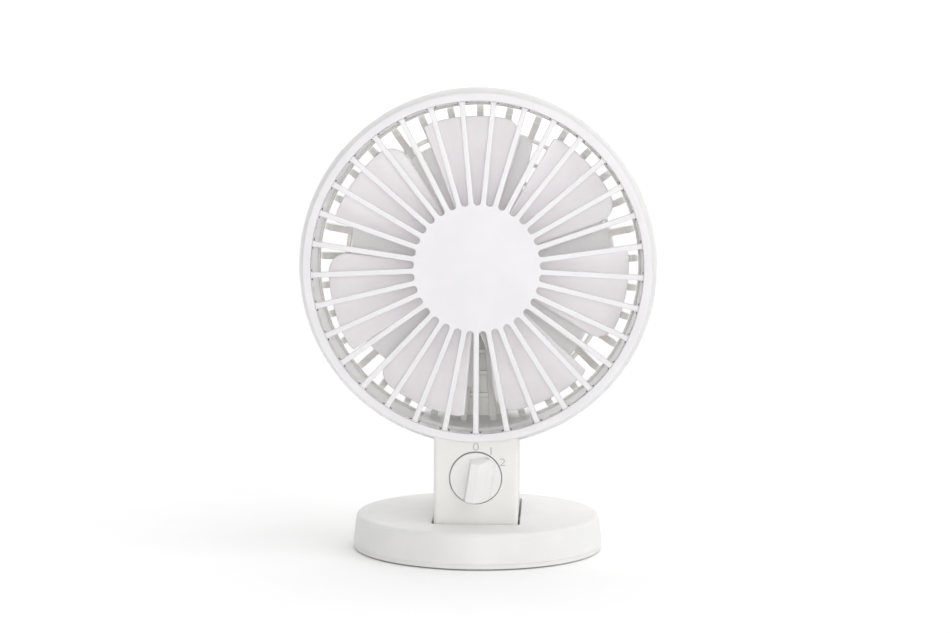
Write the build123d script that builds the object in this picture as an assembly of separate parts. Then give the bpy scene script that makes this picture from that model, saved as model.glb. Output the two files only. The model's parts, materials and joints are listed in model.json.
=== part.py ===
from build123d import *
import os
from math import asin, atan2, cos, hypot, pi, radians, sin, sqrt, tan

os.makedirs("parts", exist_ok=True)

# Small desk fan with two counter-turning impellers, millimetres.
# The origin is the middle of the base on the table, +Z is up, the air leaves towards -Y.
# Head pieces are drawn in the head's own frame: depth runs from the ring's front face
# to the back, and angles are counted clockwise from twelve o'clock, seen from the front.

# ---------------------------------------------------------------- cutting
PAST = 1.0                   # cuts run past a face by this
FAR = 99.0                   # reach of cutting blocks, beyond every piece

# ---------------------------------------------------------------- base
FOOT_H = 0.6                 # feet stand out below the base plate
FOOT_T = 1.4                 # thickness of a rubber foot
FOOT_R = 5.0
FOOT_PLACE = 29.0            # feet stand at +-this in x and y
BASE_R_BOTTOM = 54.0
BASE_R_TOP = 52.6
BASE_TOP_Z = 15.2
BASE_EDGE_R = 2.0            # rounding of the top edge
BASE_WALL = 2.2
PLATE_T = 1.8                # base plate
PLATE_INSET = 0.4            # plate edge stands back from the cover's wall
BOSS_R = 3.0
BASE_SCREW_X = 15.0
BASE_SCREW_Y = 43.5
WEIGHT_R = 47.0
WEIGHT_X = 26.5              # inner straight edge of each weight
WEIGHT_T = 8.4
SLOT_GAP_SIDE = 0.85         # stem to slot wall
SLOT_GAP_FRONT = 0.8
SLOT_GAP_REAR = 3.6          # room for the tilt
SLOT_CORNER_R = 2.2
SKIRT_T = 1.6                # wall hanging down around the slot
SKIRT_BOTTOM_Z = 4.6
PIN_NOTCH_GAP = 0.35         # skirt notch around the pin
SMALL_SCREW_R = 1.0
SMALL_HEAD_R = 1.9
SMALL_HEAD_T = 0.8
SCREW_SEAT_DEPTH = 1.0       # seat of the screw heads inside the base plate
SCREW_TIP_GAP = 0.5
BASE_SCREW_GRIP = 6.0
WEIGHT_SCREW_X = 37.0
WEIGHT_SCREW_Y = 14.0
WEIGHT_SCREW_GRIP = 5.0

# ---------------------------------------------------------------- tilt hinge
PIVOT_Y = 2.0
PIVOT_Z = 9.0
PIN_R = 1.75
PIN_FIT = 0.05               # radial running clearance
PIN_END = 1.6                # pin length beyond the bracket ear
PIN_HEAD_R = 2.8
PIN_HEAD_T = 1.2
CLIP_R = 3.0
CLIP_T = 0.8
BRACKET_T = 1.2
EAR_GAP = 0.2                # slot skirt to bracket ear
EAR_HALF_Y = 5.0
EAR_TOP_OVER_PIN = 1.5
BRACKET_FOOT_Y = 9.0
BRACKET_SCREW_X = 12.0
BRACKET_SCREW_Y = 6.0
EAR_HOLE_GAP = 0.02
CLIP_GAP = 0.1               # bracket ear to clip
CLIP_BITE = 0.4              # clip depth in the pin
PIVOT_BOSS_WALL = 1.6
WASHER_R = 3.3
WASHER_FIT = 0.05            # washer to its neighbours, along the pin
TILT_BACK = 15.0             # degrees

# ---------------------------------------------------------------- stem
STEM_W = 35.5
STEM_FRONT_Y = -30.0
STEM_BACK_Y = 33.0
STEM_BOTTOM_Z = 4.6
STEM_SPLIT_Y = -6.0          # seam between front and rear shell
STEM_WALL = 2.2
STEM_EDGE_R = 1.8
STEM_BOSS_X = 12.6
STEM_BOSS_Z = (18.0, 39.0)
STEM_BOSS_HALF = 2.8
STEM_BOSS_FRONT = 10.0       # boss length ahead of the seam
STEM_BORE_FLOOR = 1.0        # closed end of the screw bores
STEM_SEAT = 4.0              # seam to the screw head's seat
STEM_SCREW_R = 1.25
STEM_SCREW_HEAD_R = 2.2
STEM_SCREW_HEAD_T = 1.8
HEAD_HOLE_GAP = 0.2          # screw head to its counterbore
SCREW_HOLE_GAP = 0.15        # screw shank to a clearance hole
HEAD_SEAM = 0.05             # gap between stem shells and housing

# ---------------------------------------------------------------- switch and knob
KNOB_Z = 34.8
KNOB_R = 10.8
KNOB_GAP = 0.4               # knob to the rim of its hole
KNOB_PROUD = 1.3             # knob face ahead of the stem face
KNOB_FLANGE_R = 12.6
KNOB_FLANGE_T = 1.2
KNOB_FLANGE_GAP = 0.4        # flange to the inner face of the stem wall
KNOB_EDGE = 0.5
KNOB_ROOF = 1.4              # knob material in front of the shaft
KNOB_TURN = 9.0              # pointer at rest, degrees clockwise of zero
GRIP_W = 3.6
GRIP_H = 3.6
GRIP_SHIFT = -1.2
GRIP_DRAFT = 0.5
GRIP_SLOPE_END = 8.6         # where the long flank meets the knob face
SWITCH_SIZE = 13.0
SWITCH_T = 6.0
SHAFT_R = 2.5                # switch shaft
SHAFT_FIT = 0.05
SHAFT_IN_SWITCH = 4.8        # shaft length inside the switch
SWITCH_GAP = 0.6             # knob flange to switch
BOARD_W = 27.0
BOARD_LOW_Z = 18.0
BOARD_HIGH_Z = 46.8
BOARD_T = 1.6
BOARD_SCREW_X = 11.0
BOARD_SCREW_Z = (20.4, 45.0)
BOARD_BOSS_R = 2.1
BOARD_SCREW_R = 0.9
BOARD_SCREW_HEAD_R = 1.7
BOARD_SCREW_HEAD_T = 1.1
BOARD_SCREW_GRIP = 5.0

# ---------------------------------------------------------------- head
HEAD_FRONT_Y = -33.2
HEAD_Z = 123.2
SPOKES = 33
SPOKE_W = 2.0
SPOKE_T = 2.6
RING_R = 73.1
RING_INNER_R = 69.3
RING_T = 3.0
RING_EDGE_R = 1.0
RING_STEP = 0.3              # spoke plate runs under the ring's inner edge
PLATE_SET_BACK = 0.4         # spokes and centre disc behind the ring face
DISC_R = 26.4
SLOT_END_R = 1.35            # rounding at the inner end of each slot
SLOT_TIP_R = 0.8
LIP_DEPTH = 4.0              # locating lip behind the ring
LIP_FIT = 0.1
CATCHES = 4
CATCH_W = 7.0
CATCH_OUT = 0.7

DRUM_MAX_R = 75.5
DRUM_MAX_AT = 15.0
DRUM_BACK_R = 69.6
DRUM_BACK_AT = 31.0
DRUM_WALL = 2.4
ENVELOPE_AHEAD = 5.0         # cutting envelope runs on ahead of the ring
RIB_W = 2.6
RIB_DEPTH = 4.6
RIB_ROOT = 0.6               # rib length buried at each end
RIM_W = 1.8                  # rim at the ribs' outer ends
RIM_FIT = 0.1
RIM_FROM = 27.6
RIM_TO = 30.6
HUB_R = 24.0
BOWL_BACK_AT = 50.0
RING_RADII = (57.6, 48.4, 39.2, 30.4)
RING_W = 1.9
RING_DEPTH = 3.0
RING_SET_IN = 0.5            # guard rings inside the ribs
HUB_DISC_T = 4.4

FLOOR_R = 68.0               # closed floor above the stem
FLOOR_T = 2.8
FLOOR_HALF_ANGLE = 20.0
FLOOR_FROM = 8.0
SPINE_W = 26.0
SPINE_FRONT_AT = 49.0
SPINE_WALL = 2.0
LID_INSET = 0.3              # housing lid inside the stem's edge
COVER_T = 2.4
COVER_GAP = 0.15
HEAD_SUNK = 0.2              # cover screw heads below the face
VENT_SIDE = 2                # vent slits each side of the middle one
VENT_PITCH = 4.2
VENT_LEN = 17.0
VENT_W = 1.8
COVER_EDGE_R = 1.6
COVER_SCREW_R = 1.0
COVER_SCREW_HEAD_R = 2.0
COVER_SCREW_HEAD_T = 1.4
COVER_SCREW_LEN = 9.0
COVER_BOSS_R = 2.6
COVER_BOSS_PLACE = 18.6
COVER_BOSS_ANGLES = (0.0, 105.0, 255.0)
SPINE_BOSS_DOWN = 52.0       # lower cover screw below the head axis
LEAD_WINDOW_W = 14.4

CUP_R = 17.0                 # motor cup in front of the rear hub
CUP_WALL = 2.0
CUP_FRONT_AT = 34.5
SEAT_WALL = 1.6              # wall around the motor can

# ---------------------------------------------------------------- motor
CAN_R = 11.9
CAN_LEN = 21.0
CAN_WALL = 1.0
CAN_NECK_R = 3.0
MOTOR_SHAFT_R = 1.15
MOTOR_SHAFT_FROM = 7.4
MOTOR_SHAFT_TO = 60.4
MOTOR_FIT = 0.05
MOTOR_CLEAR = 0.3
NECK_BACK = 0.2              # motor neck behind the cup's face
SHAFT_CLEAR = 0.6
BUSH_R = 2.4
BUSH_LEN = 3.0
BUSH_PAST = 2.0              # rear bush behind the can
CAP_T = 2.6
CAP_BOSS_WALL = 1.5
TERMINAL_X = 6.0
TAB_T = 0.8
TAB_W = 2.0
TAB_PAST = 0.8               # terminal beyond the lead
MAGNET_T = 2.0
MAGNET_AT = 9.45             # middle of the magnets behind the can's front
MAGNET_LEN = 13.0
MAGNET_HALF_ANGLE = 62.0
CORE_GAP = 0.5               # armature to magnets
CORE_LEN = 9.0
CORE_POLES = 3
CORE_NECK = 3.0
CORE_RIM = 1.5
CORE_HUB_R = 3.2
CORE_SLOT_W = 2.4
COIL_T = 1.2
COIL_ROUND = 0.84
COIL_GAP = 0.15
COMMUTATOR_R = 2.4
COMMUTATOR_LEN = 2.6
BRUSH_W = 1.4
BRUSH_GAP = 0.3
MOTOR_SCREW_X = 5.6
MOTOR_SCREW_R = 0.95
MOTOR_SCREW_HEAD_R = 1.6
MOTOR_SCREW_HEAD_T = 1.0
LEAD_R = 0.6
LEAD_Z = 42.0                # height of the leads below the head
LEAD_AT = 60.0               # depth of the leads in the spine
LEAD_BEND = 8.0

# ---------------------------------------------------------------- reversing gears
MODULE = 0.6
SUN_TEETH = 24
PLANET_TEETH = 12
RING_TEETH = 2 * PLANET_TEETH + SUN_TEETH
PLANETS = 3
PRESSURE_ANGLE = 25.0
ADDENDUM = 0.85              # in modules
DEDENDUM = 1.2               # in modules
BACKLASH = 0.07              # thinning of each tooth on its pitch circle
GEAR_FROM = 23.2
GEAR_FACE = 5.4
PLANET_PIN_R = 0.8
PLANET_FIT = 0.06
RING_GEAR_WALL = 1.1
GEAR_PLATE_R = 13.4
GEAR_PLATE_T = 2.0
GEAR_PLATE_GAP = 1.9         # gears to plate, with room for the screw heads
GEAR_PLATE_FOOT_R = 9.0
PLANET_BOSS_R = 1.8
GEAR_SIDE_GAP = 0.3

# ---------------------------------------------------------------- impellers
FRONT_BLADES = 7
FRONT_BLADE_START = 30.3
FRONT_BLADE_SPAN = 39.5
FRONT_TIP_R = 63.5
FRONT_TIP_ROUND = 9.5
FRONT_BLADE_FROM = 6.6
FRONT_BLADE_TO = 16.4
FRONT_HUB_R = 19.0
FRONT_HUB_FROM = 5.2
FRONT_HUB_TO = 17.4

REAR_BLADES = 5
REAR_EDGE_ANGLE = 12.5
REAR_EDGE_OFFSET = 11.0
REAR_BLADE_SPAN = 59.0
REAR_TIP_R = 58.2
REAR_TIP_R_TRAILING = 53.4
REAR_TIP_ROUND = 2.0
REAR_BLADE_FROM = 19.6
REAR_BLADE_TO = 32.6
REAR_HUB_R = 18.4
REAR_HUB_FROM = 18.6
REAR_HUB_TO = 33.2
BLADE_T = 1.3
BLADE_CAMBER = 1.6
HUB_WALL = 1.6
HUB_BOSS_R = 3.4
REAR_HUB_BOSS_R = 4.4
WHEEL_BUSH_R = 2.6
BOSS_PAST = 0.6              # front boss beyond its hub
BLADE_MARGIN = 4.0           # degrees of sheet beyond each blade edge
BLADE_CORNER_R = 0.8

# ---------------------------------------------------------------- power inlet
INLET_W = 8.9
INLET_H = 3.2
INLET_LEN = 7.4
INLET_ROUND = 1.28           # corner rounding of the socket shell
INLET_GAP = 0.25
INLET_Z = 6.8
INLET_WALL = 0.4
INLET_BOARD_W = 15.0
INLET_BOARD_LEN = 11.0
INLET_BOARD_T = 1.0
INLET_BOARD_BACK = 2.0       # board edge behind the socket mouth
INLET_SUNK = 0.7             # socket mouth inside the wall
INLET_PEG_R = 1.4
INLET_PEG_X = 5.6
TONGUE_W = 6.4
TONGUE_T = 0.7
TONGUE_BACK = 1.0

# ---------------------------------------------------------------- worked-out places
PLATE_BOTTOM_Z = FOOT_H
PLATE_TOP_Z = PLATE_BOTTOM_Z + PLATE_T
SCREW_SEAT_Z = PLATE_BOTTOM_Z + SCREW_SEAT_DEPTH
INLET_Y = BASE_R_TOP - INLET_SUNK
INLET_BOARD_Z = INLET_Z - INLET_H / 2 - INLET_BOARD_T
INLET_PEG_Y = INLET_Y - INLET_BOARD_BACK - INLET_BOARD_LEN / 2
STEM_HALF = STEM_W / 2
SLOT_HALF = STEM_HALF + SLOT_GAP_SIDE
SLOT_FRONT_Y = STEM_FRONT_Y - SLOT_GAP_FRONT
SLOT_BACK_Y = STEM_BACK_Y + SLOT_GAP_REAR
EAR_X = SLOT_HALF + SKIRT_T + EAR_GAP
CHIN_SLOPE = TILT_BACK + 0.5
KNOB_FLANGE_Y = STEM_FRONT_Y + STEM_WALL + KNOB_FLANGE_GAP
SWITCH_FRONT_Y = KNOB_FLANGE_Y + KNOB_FLANGE_T + SWITCH_GAP
BOARD_FRONT_Y = SWITCH_FRONT_Y + SWITCH_T
BOARD_BACK_Y = BOARD_FRONT_Y + BOARD_T
KNOB_FACE_Y = STEM_FRONT_Y - KNOB_PROUD
SHAFT_END_Y = SWITCH_FRONT_Y + SHAFT_IN_SWITCH
GEAR_TO = GEAR_FROM + GEAR_FACE
GEAR_PLATE_FROM = GEAR_TO + GEAR_PLATE_GAP
SUN_R = MODULE * SUN_TEETH / 2
PLANET_R = MODULE * PLANET_TEETH / 2
RING_GEAR_R = MODULE * RING_TEETH / 2
PLANET_PLACE = SUN_R + PLANET_R
RING_GEAR_OUTER_R = RING_GEAR_R + DEDENDUM * MODULE + RING_GEAR_WALL
CAN_FROM = CUP_FRONT_AT + CUP_WALL
CAN_TO = CAN_FROM + CAN_LEN
CAN_INNER_R = CAN_R - CAN_WALL
CORE_R = CAN_INNER_R - MAGNET_T - CORE_GAP
MOTOR_MIDDLE = CAN_FROM + MAGNET_AT
HEAD_BACK_AT = STEM_BACK_Y - HEAD_FRONT_Y
COVER_FROM = HEAD_BACK_AT - COVER_T

HEAD = Location((0, HEAD_FRONT_Y, HEAD_Z), (-90, 0, 0))
ON_END = (Align.CENTER, Align.CENTER, Align.MIN)


# ---------------------------------------------------------------- helpers
def clock(angle, radius):
    """Point in the head's frame at a clock angle, as (x, y)."""
    a = radians(angle - 90)
    return (radius * cos(a), radius * sin(a))


def turned(shape, angle):
    """Shape turned clockwise about the head's axis."""
    return Rot(0, 0, angle) * shape


def rod(radius, start, end):
    """Cylinder along the head's axis between two depths."""
    return Pos(0, 0, start) * Cylinder(radius, end - start, align=ON_END)


def tube(outer, inner, start, end):
    """Round tube along the head's axis."""
    return rod(outer, start, end) - rod(inner, start - PAST, end + PAST)


def block(x0, x1, y0, y1, z0, z1):
    """Box between two corners."""
    return Pos((x0 + x1) / 2, (y0 + y1) / 2, (z0 + z1) / 2) * Box(x1 - x0, y1 - y0, z1 - z0)


def post(radius, x, y, z0, z1):
    """Upright cylinder."""
    return Pos(x, y, z0) * Cylinder(radius, z1 - z0, align=ON_END)


def bar_y(radius, x, z, y0, y1):
    """Cylinder lying along Y."""
    return Pos(x, y0, z) * Rot(-90, 0, 0) * Cylinder(radius, y1 - y0, align=ON_END)


def bar_x(radius, y, z, x0, x1):
    """Cylinder lying along X."""
    return Pos(x0, y, z) * Rot(0, 90, 0) * Cylinder(radius, x1 - x0, align=ON_END)


def spun(edges):
    """Closed (radius, depth) outline turned about the head's axis."""
    return revolve(Plane.XZ * make_face(edges), Axis.Z, 360)


def circle_through(a, b, c):
    """Centre and radius of the circle through three points."""
    d = 2 * (a[0] * (b[1] - c[1]) + b[0] * (c[1] - a[1]) + c[0] * (a[1] - b[1]))
    sq = [p[0] ** 2 + p[1] ** 2 for p in (a, b, c)]
    x = (sq[0] * (b[1] - c[1]) + sq[1] * (c[1] - a[1]) + sq[2] * (a[1] - b[1])) / d
    y = (sq[0] * (c[0] - b[0]) + sq[1] * (a[0] - c[0]) + sq[2] * (b[0] - a[0])) / d
    return (x, y), hypot(a[0] - x, a[1] - y)


def toward(point, centre, distance):
    """Point moved towards a centre."""
    length = hypot(centre[0] - point[0], centre[1] - point[1])
    share = distance / length
    return (point[0] + (centre[0] - point[0]) * share, point[1] + (centre[1] - point[1]) * share)


# ---------------------------------------------------------------- drum and bowl outline
DRUM_FRONT = (RING_R, RING_T)
DRUM_TOP = (DRUM_MAX_R, DRUM_MAX_AT)
DRUM_BACK = (DRUM_BACK_R, DRUM_BACK_AT)
DRUM_CENTRE, DRUM_ARC_R = circle_through(DRUM_FRONT, DRUM_TOP, DRUM_BACK)


def bowl_arc():
    """Centre and radius of the bowl's back arc, tangent to the drum's arc."""
    # The centre lies on the line from the drum's centre through its back point.
    ux = (DRUM_CENTRE[0] - DRUM_BACK[0]) / DRUM_ARC_R
    uy = (DRUM_CENTRE[1] - DRUM_BACK[1]) / DRUM_ARC_R
    dx = DRUM_BACK[0] - HUB_R
    dy = DRUM_BACK[1] - BOWL_BACK_AT
    radius = -(dx * dx + dy * dy) / (2 * (dx * ux + dy * uy))
    return (DRUM_BACK[0] + ux * radius, DRUM_BACK[1] + uy * radius), radius


BOWL_CENTRE, BOWL_ARC_R = bowl_arc()


def bowl_at(radius):
    """Depth of the bowl's back surface at a radius."""
    return BOWL_CENTRE[1] + sqrt(BOWL_ARC_R ** 2 - (radius - BOWL_CENTRE[0]) ** 2)


def bowl_point(radius, inward):
    """Point of the bowl's outline moved inward by a distance."""
    return toward((radius, bowl_at(radius)), BOWL_CENTRE, inward)


def drum_envelope(extra):
    """Solid body of the drum and bowl, for cutting what fits around it."""
    front = toward(DRUM_FRONT, DRUM_CENTRE, -extra)
    top = toward(DRUM_TOP, DRUM_CENTRE, -extra)
    back = toward(DRUM_BACK, DRUM_CENTRE, -extra)
    return spun([
        Line((0, -ENVELOPE_AHEAD), (front[0], -ENVELOPE_AHEAD)),
        Line((front[0], -ENVELOPE_AHEAD), front),
        ThreePointArc(front, top, back),
        Line(back, (0, back[1])),
        Line((0, back[1]), (0, -ENVELOPE_AHEAD)),
    ])


def drum_inner_at(depth):
    """Inner radius of the drum's wall at a depth."""
    inner = DRUM_ARC_R - DRUM_WALL
    return DRUM_CENTRE[0] + sqrt(inner ** 2 - (depth - DRUM_CENTRE[1]) ** 2)


def sector(half_angle, middle, radius, start, end):
    """Wedge of a disc about a clock angle, for keeping part of a ring."""
    reach = radius / cos(radians(half_angle))
    left = clock(middle - half_angle, reach)
    right = clock(middle + half_angle, reach)
    wedge = make_face(Polyline((0, 0), left, right, (0, 0)))
    return extrude(Pos(0, 0, start) * wedge, amount=end - start)


# ---------------------------------------------------------------- base pieces
BASE_SCREWS = [(sx * BASE_SCREW_X, sy * BASE_SCREW_Y) for sx in (-1, 1) for sy in (-1, 1)]
FEET = [(sx * FOOT_PLACE, sy * FOOT_PLACE) for sx in (-1, 1) for sy in (-1, 1)]
BRACKET_SCREWS = [(sx * BRACKET_SCREW_X, PIVOT_Y + sy * BRACKET_SCREW_Y) for sx in (-1, 1) for sy in (-1, 1)]
WEIGHT_SCREWS = [(sx * WEIGHT_SCREW_X, sy * WEIGHT_SCREW_Y) for sx in (-1, 1) for sy in (-1, 1)]


def slot_block(grow, bottom):
    """Rounded block filling the stem's slot, grown all round, open upwards."""
    shape = block(-SLOT_HALF - grow, SLOT_HALF + grow, SLOT_FRONT_Y - grow, SLOT_BACK_Y + grow,
                  bottom, BASE_TOP_Z + PAST)
    return fillet(shape.edges().filter_by(Axis.Z), SLOT_CORNER_R + grow)


def base_cover():
    """Round top shell with the slot that the stem tilts in."""
    height = BASE_TOP_Z - PLATE_TOP_Z
    low = Pos(0, 0, PLATE_TOP_Z)
    outer = low * Cone(BASE_R_BOTTOM, BASE_R_TOP, height, align=ON_END)
    outer = fillet(outer.edges().group_by(Axis.Z)[-1], BASE_EDGE_R)
    hollow = low * Cone(BASE_R_BOTTOM - BASE_WALL, BASE_R_TOP - BASE_WALL, height - BASE_WALL, align=ON_END)
    shell = outer - hollow
    skirt = slot_block(SKIRT_T, SKIRT_BOTTOM_Z) & block(-FAR, FAR, -FAR, FAR, 0, BASE_TOP_Z - BASE_WALL / 2)
    shell = shell + skirt
    for x, y in BASE_SCREWS:
        shell = shell + post(BOSS_R, x, y, PLATE_TOP_Z, BASE_TOP_Z - BASE_WALL / 2)
        shell = shell - post(SMALL_SCREW_R, x, y, 0, PLATE_TOP_Z + BASE_SCREW_GRIP)
    shell = shell - slot_block(0, -1)
    notch_half = PIN_R + PIN_NOTCH_GAP
    reach = SLOT_HALF + SKIRT_T + EAR_GAP / 2
    shell = shell - block(-reach, reach, PIVOT_Y - notch_half, PIVOT_Y + notch_half, 0, PIVOT_Z)
    shell = shell - bar_x(notch_half, PIVOT_Y, PIVOT_Z, -reach, reach)
    mouth_w = INLET_W / 2 + INLET_GAP
    mouth_h = INLET_H / 2 + INLET_GAP
    return shell - block(-mouth_w, mouth_w, SLOT_BACK_Y + 2 * SKIRT_T, BASE_R_BOTTOM + PAST,
                         INLET_Z - mouth_h, INLET_Z + mouth_h)


def base_plate():
    """Flat plate that closes the base from below."""
    plate = post(BASE_R_BOTTOM - PLATE_INSET, 0, 0, PLATE_BOTTOM_Z, PLATE_TOP_Z)
    for x, y in FEET:
        plate = plate - post(FOOT_R, x, y, 0, FOOT_T)
    for x, y in BASE_SCREWS + BRACKET_SCREWS + WEIGHT_SCREWS:
        plate = plate - post(SMALL_SCREW_R + SCREW_HOLE_GAP, x, y, 0, PLATE_TOP_Z)
        plate = plate - post(SMALL_HEAD_R + HEAD_HOLE_GAP, x, y, 0, SCREW_SEAT_Z)
    for side in (-1, 1):
        plate = plate + post(INLET_PEG_R, side * INLET_PEG_X, INLET_PEG_Y, PLATE_TOP_Z, INLET_BOARD_Z)
    return plate


def low_screws(places, top):
    """Short screws driven up through the base plate."""
    return [post(SMALL_HEAD_R, x, y, SCREW_SEAT_Z - SMALL_HEAD_T, SCREW_SEAT_Z)
            + post(SMALL_SCREW_R, x, y, SCREW_SEAT_Z, top) for x, y in places]


def rubber_feet():
    """Four round feet."""
    return [post(FOOT_R, x, y, 0, FOOT_T) for x, y in FEET]


def base_weights():
    """Two steel slugs that keep the fan from tipping."""
    disc = post(WEIGHT_R, 0, 0, PLATE_TOP_Z, PLATE_TOP_Z + WEIGHT_T)
    slugs = []
    for side in (-1, 1):
        keep = block(min(side * WEIGHT_X, side * FAR), max(side * WEIGHT_X, side * FAR), -FAR, FAR, 0, FAR)
        slug = disc & keep
        for x, y in WEIGHT_SCREWS:
            slug = slug - post(SMALL_SCREW_R, x, y, 0, PLATE_TOP_Z + WEIGHT_SCREW_GRIP)
        slugs.append(slug)
    return slugs


def pivot_bracket():
    """Bent steel bracket whose ears carry the tilt pin."""
    wide = EAR_X + BRACKET_T
    ear_top = PIVOT_Z + PIN_R + EAR_TOP_OVER_PIN
    shape = block(-wide, wide, PIVOT_Y - BRACKET_FOOT_Y, PIVOT_Y + BRACKET_FOOT_Y,
                  PLATE_TOP_Z, PLATE_TOP_Z + BRACKET_T)
    for side in (-1, 1):
        shape = shape + block(min(side * EAR_X, side * wide), max(side * EAR_X, side * wide),
                              PIVOT_Y - EAR_HALF_Y, PIVOT_Y + EAR_HALF_Y, PLATE_TOP_Z, ear_top)
    shape = shape - bar_x(PIN_R + EAR_HOLE_GAP, PIVOT_Y, PIVOT_Z, -wide - PAST, wide + PAST)
    for x, y in BRACKET_SCREWS:
        shape = shape - post(SMALL_SCREW_R, x, y, 0, PLATE_TOP_Z + BRACKET_T)
    return shape


PIN_FAR_X = EAR_X + BRACKET_T
CLIP_FROM_X = PIN_FAR_X + CLIP_GAP


def tilt_pin():
    """Headed hinge pin with a groove for its clip."""
    pin = bar_x(PIN_R, PIVOT_Y, PIVOT_Z, -PIN_FAR_X, CLIP_FROM_X + CLIP_T + PIN_END)
    pin = pin + bar_x(PIN_HEAD_R, PIVOT_Y, PIVOT_Z, -PIN_FAR_X - PIN_HEAD_T, -PIN_FAR_X)
    groove = bar_x(PIN_R + PAST, PIVOT_Y, PIVOT_Z, CLIP_FROM_X, CLIP_FROM_X + CLIP_T)
    return pin - (groove - bar_x(PIN_R - CLIP_BITE, PIVOT_Y, PIVOT_Z, 0, FAR))


def pin_clip():
    """Open spring clip in the pin's groove."""
    ring = bar_x(CLIP_R, PIVOT_Y, PIVOT_Z, CLIP_FROM_X, CLIP_FROM_X + CLIP_T)
    ring = ring - bar_x(PIN_R - CLIP_BITE, PIVOT_Y, PIVOT_Z, 0, FAR)
    mouth = PIN_R - CLIP_BITE
    return ring - block(0, FAR, PIVOT_Y - mouth, PIVOT_Y + mouth, PIVOT_Z, PIVOT_Z + CLIP_R + PAST)


def friction_washers():
    """Washers between the stem's sides and the slot."""
    pair = []
    for side in (-1, 1):
        near = side * (STEM_HALF + WASHER_FIT)
        far = side * (SLOT_HALF - WASHER_FIT)
        low = min(near, far)
        high = max(near, far)
        ring = bar_x(WASHER_R, PIVOT_Y, PIVOT_Z, low, high)
        pair.append(ring - bar_x(PIN_R + PIN_FIT, PIVOT_Y, PIVOT_Z, low - PAST, high + PAST))
    return pair


def power_inlet():
    """Metal shell of the supply socket."""
    back = INLET_Y - INLET_LEN
    shell = block(-INLET_W / 2, INLET_W / 2, back, INLET_Y, INLET_Z - INLET_H / 2, INLET_Z + INLET_H / 2)
    shell = fillet(shell.edges().filter_by(Axis.Y), INLET_ROUND)
    inner = block(-INLET_W / 2 + INLET_WALL, INLET_W / 2 - INLET_WALL, back + INLET_WALL, INLET_Y + PAST,
                  INLET_Z - INLET_H / 2 + INLET_WALL, INLET_Z + INLET_H / 2 - INLET_WALL)
    return shell - fillet(inner.edges().filter_by(Axis.Y), INLET_ROUND - INLET_WALL)


def inlet_tongue():
    """Insulating tongue with the contacts, inside the socket."""
    return block(-TONGUE_W / 2, TONGUE_W / 2, INLET_Y - INLET_LEN + INLET_WALL, INLET_Y - TONGUE_BACK,
                 INLET_Z - TONGUE_T / 2, INLET_Z + TONGUE_T / 2)


def inlet_board():
    """Small board under the socket."""
    end = INLET_Y - INLET_BOARD_BACK
    return block(-INLET_BOARD_W / 2, INLET_BOARD_W / 2, end - INLET_BOARD_LEN, end,
                 INLET_BOARD_Z, INLET_BOARD_Z + INLET_BOARD_T)


# ---------------------------------------------------------------- stem pieces
def stem_side(inset, top):
    """Side outline of the stem, drawn inward by a wall, as a block across X."""
    slope = tan(radians(CHIN_SLOPE))
    rise = inset / cos(radians(CHIN_SLOPE))
    front = STEM_FRONT_Y + inset
    back = STEM_BACK_Y - inset
    low = STEM_BOTTOM_Z + inset
    knee = PIVOT_Y - (rise - inset) / slope
    outline = Polyline((front, low), (knee, low), (back, STEM_BOTTOM_Z + rise + (back - PIVOT_Y) * slope),
                       (back, top), (front, top), (front, low))
    face = Plane.YZ * make_face(outline)
    return extrude(face, amount=STEM_HALF - inset, both=True)


def stem_shell():
    """Whole stem before it is split into its two halves."""
    top = HEAD_Z - FLOOR_R
    outer = stem_side(0, top)
    outer = fillet(outer.edges().filter_by(Axis.Z), STEM_EDGE_R)
    shell = outer - stem_side(STEM_WALL, top + PAST)
    inside = stem_side(STEM_WALL / 2, top)
    extras = bar_x(PIN_R + PIVOT_BOSS_WALL, PIVOT_Y, PIVOT_Z, -STEM_HALF, STEM_HALF) & inside
    seam = STEM_SPLIT_Y
    for side in (-1, 1):
        near = side * (STEM_BOSS_X - STEM_BOSS_HALF)
        far = side * (STEM_HALF - STEM_WALL / 2)
        for z in STEM_BOSS_Z:
            low = z - STEM_BOSS_HALF
            high = z + STEM_BOSS_HALF
            extras = extras + (block(min(near, far), max(near, far), seam - STEM_BOSS_FRONT,
                                     STEM_BACK_Y - STEM_WALL / 2, low, high) & inside)
    for x, z in BOARD_SCREWS:
        extras = extras + bar_y(BOARD_BOSS_R, x, z, STEM_FRONT_Y + STEM_WALL / 2, BOARD_FRONT_Y)
    shell = shell + extras
    shell = shell - bar_x(PIN_R + PIN_FIT, PIVOT_Y, PIVOT_Z, -STEM_HALF - PAST, STEM_HALF + PAST)
    for x, z in STEM_SCREWS:
        shell = shell - bar_y(STEM_SCREW_R, x, z, seam - STEM_BOSS_FRONT + STEM_BORE_FLOOR, seam)
        shell = shell - bar_y(STEM_SCREW_R + SCREW_HOLE_GAP, x, z, seam, seam + STEM_SEAT)
        shell = shell - bar_y(STEM_SCREW_HEAD_R + HEAD_HOLE_GAP, x, z, seam + STEM_SEAT, STEM_BACK_Y + PAST)
    for x, z in BOARD_SCREWS:
        shell = shell - bar_y(BOARD_SCREW_R, x, z, BOARD_FRONT_Y - BOARD_SCREW_GRIP, BOARD_FRONT_Y + PAST)
    shell = shell - bar_y(KNOB_R + KNOB_GAP, 0, KNOB_Z, STEM_FRONT_Y - PAST, STEM_FRONT_Y + STEM_WALL + PAST)
    shell = shell - HEAD * drum_envelope(HEAD_SEAM)
    return shell - HEAD * rod(FLOOR_R + FLOOR_T + HEAD_SEAM, -PAST, HEAD_BACK_AT + PAST)


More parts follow.
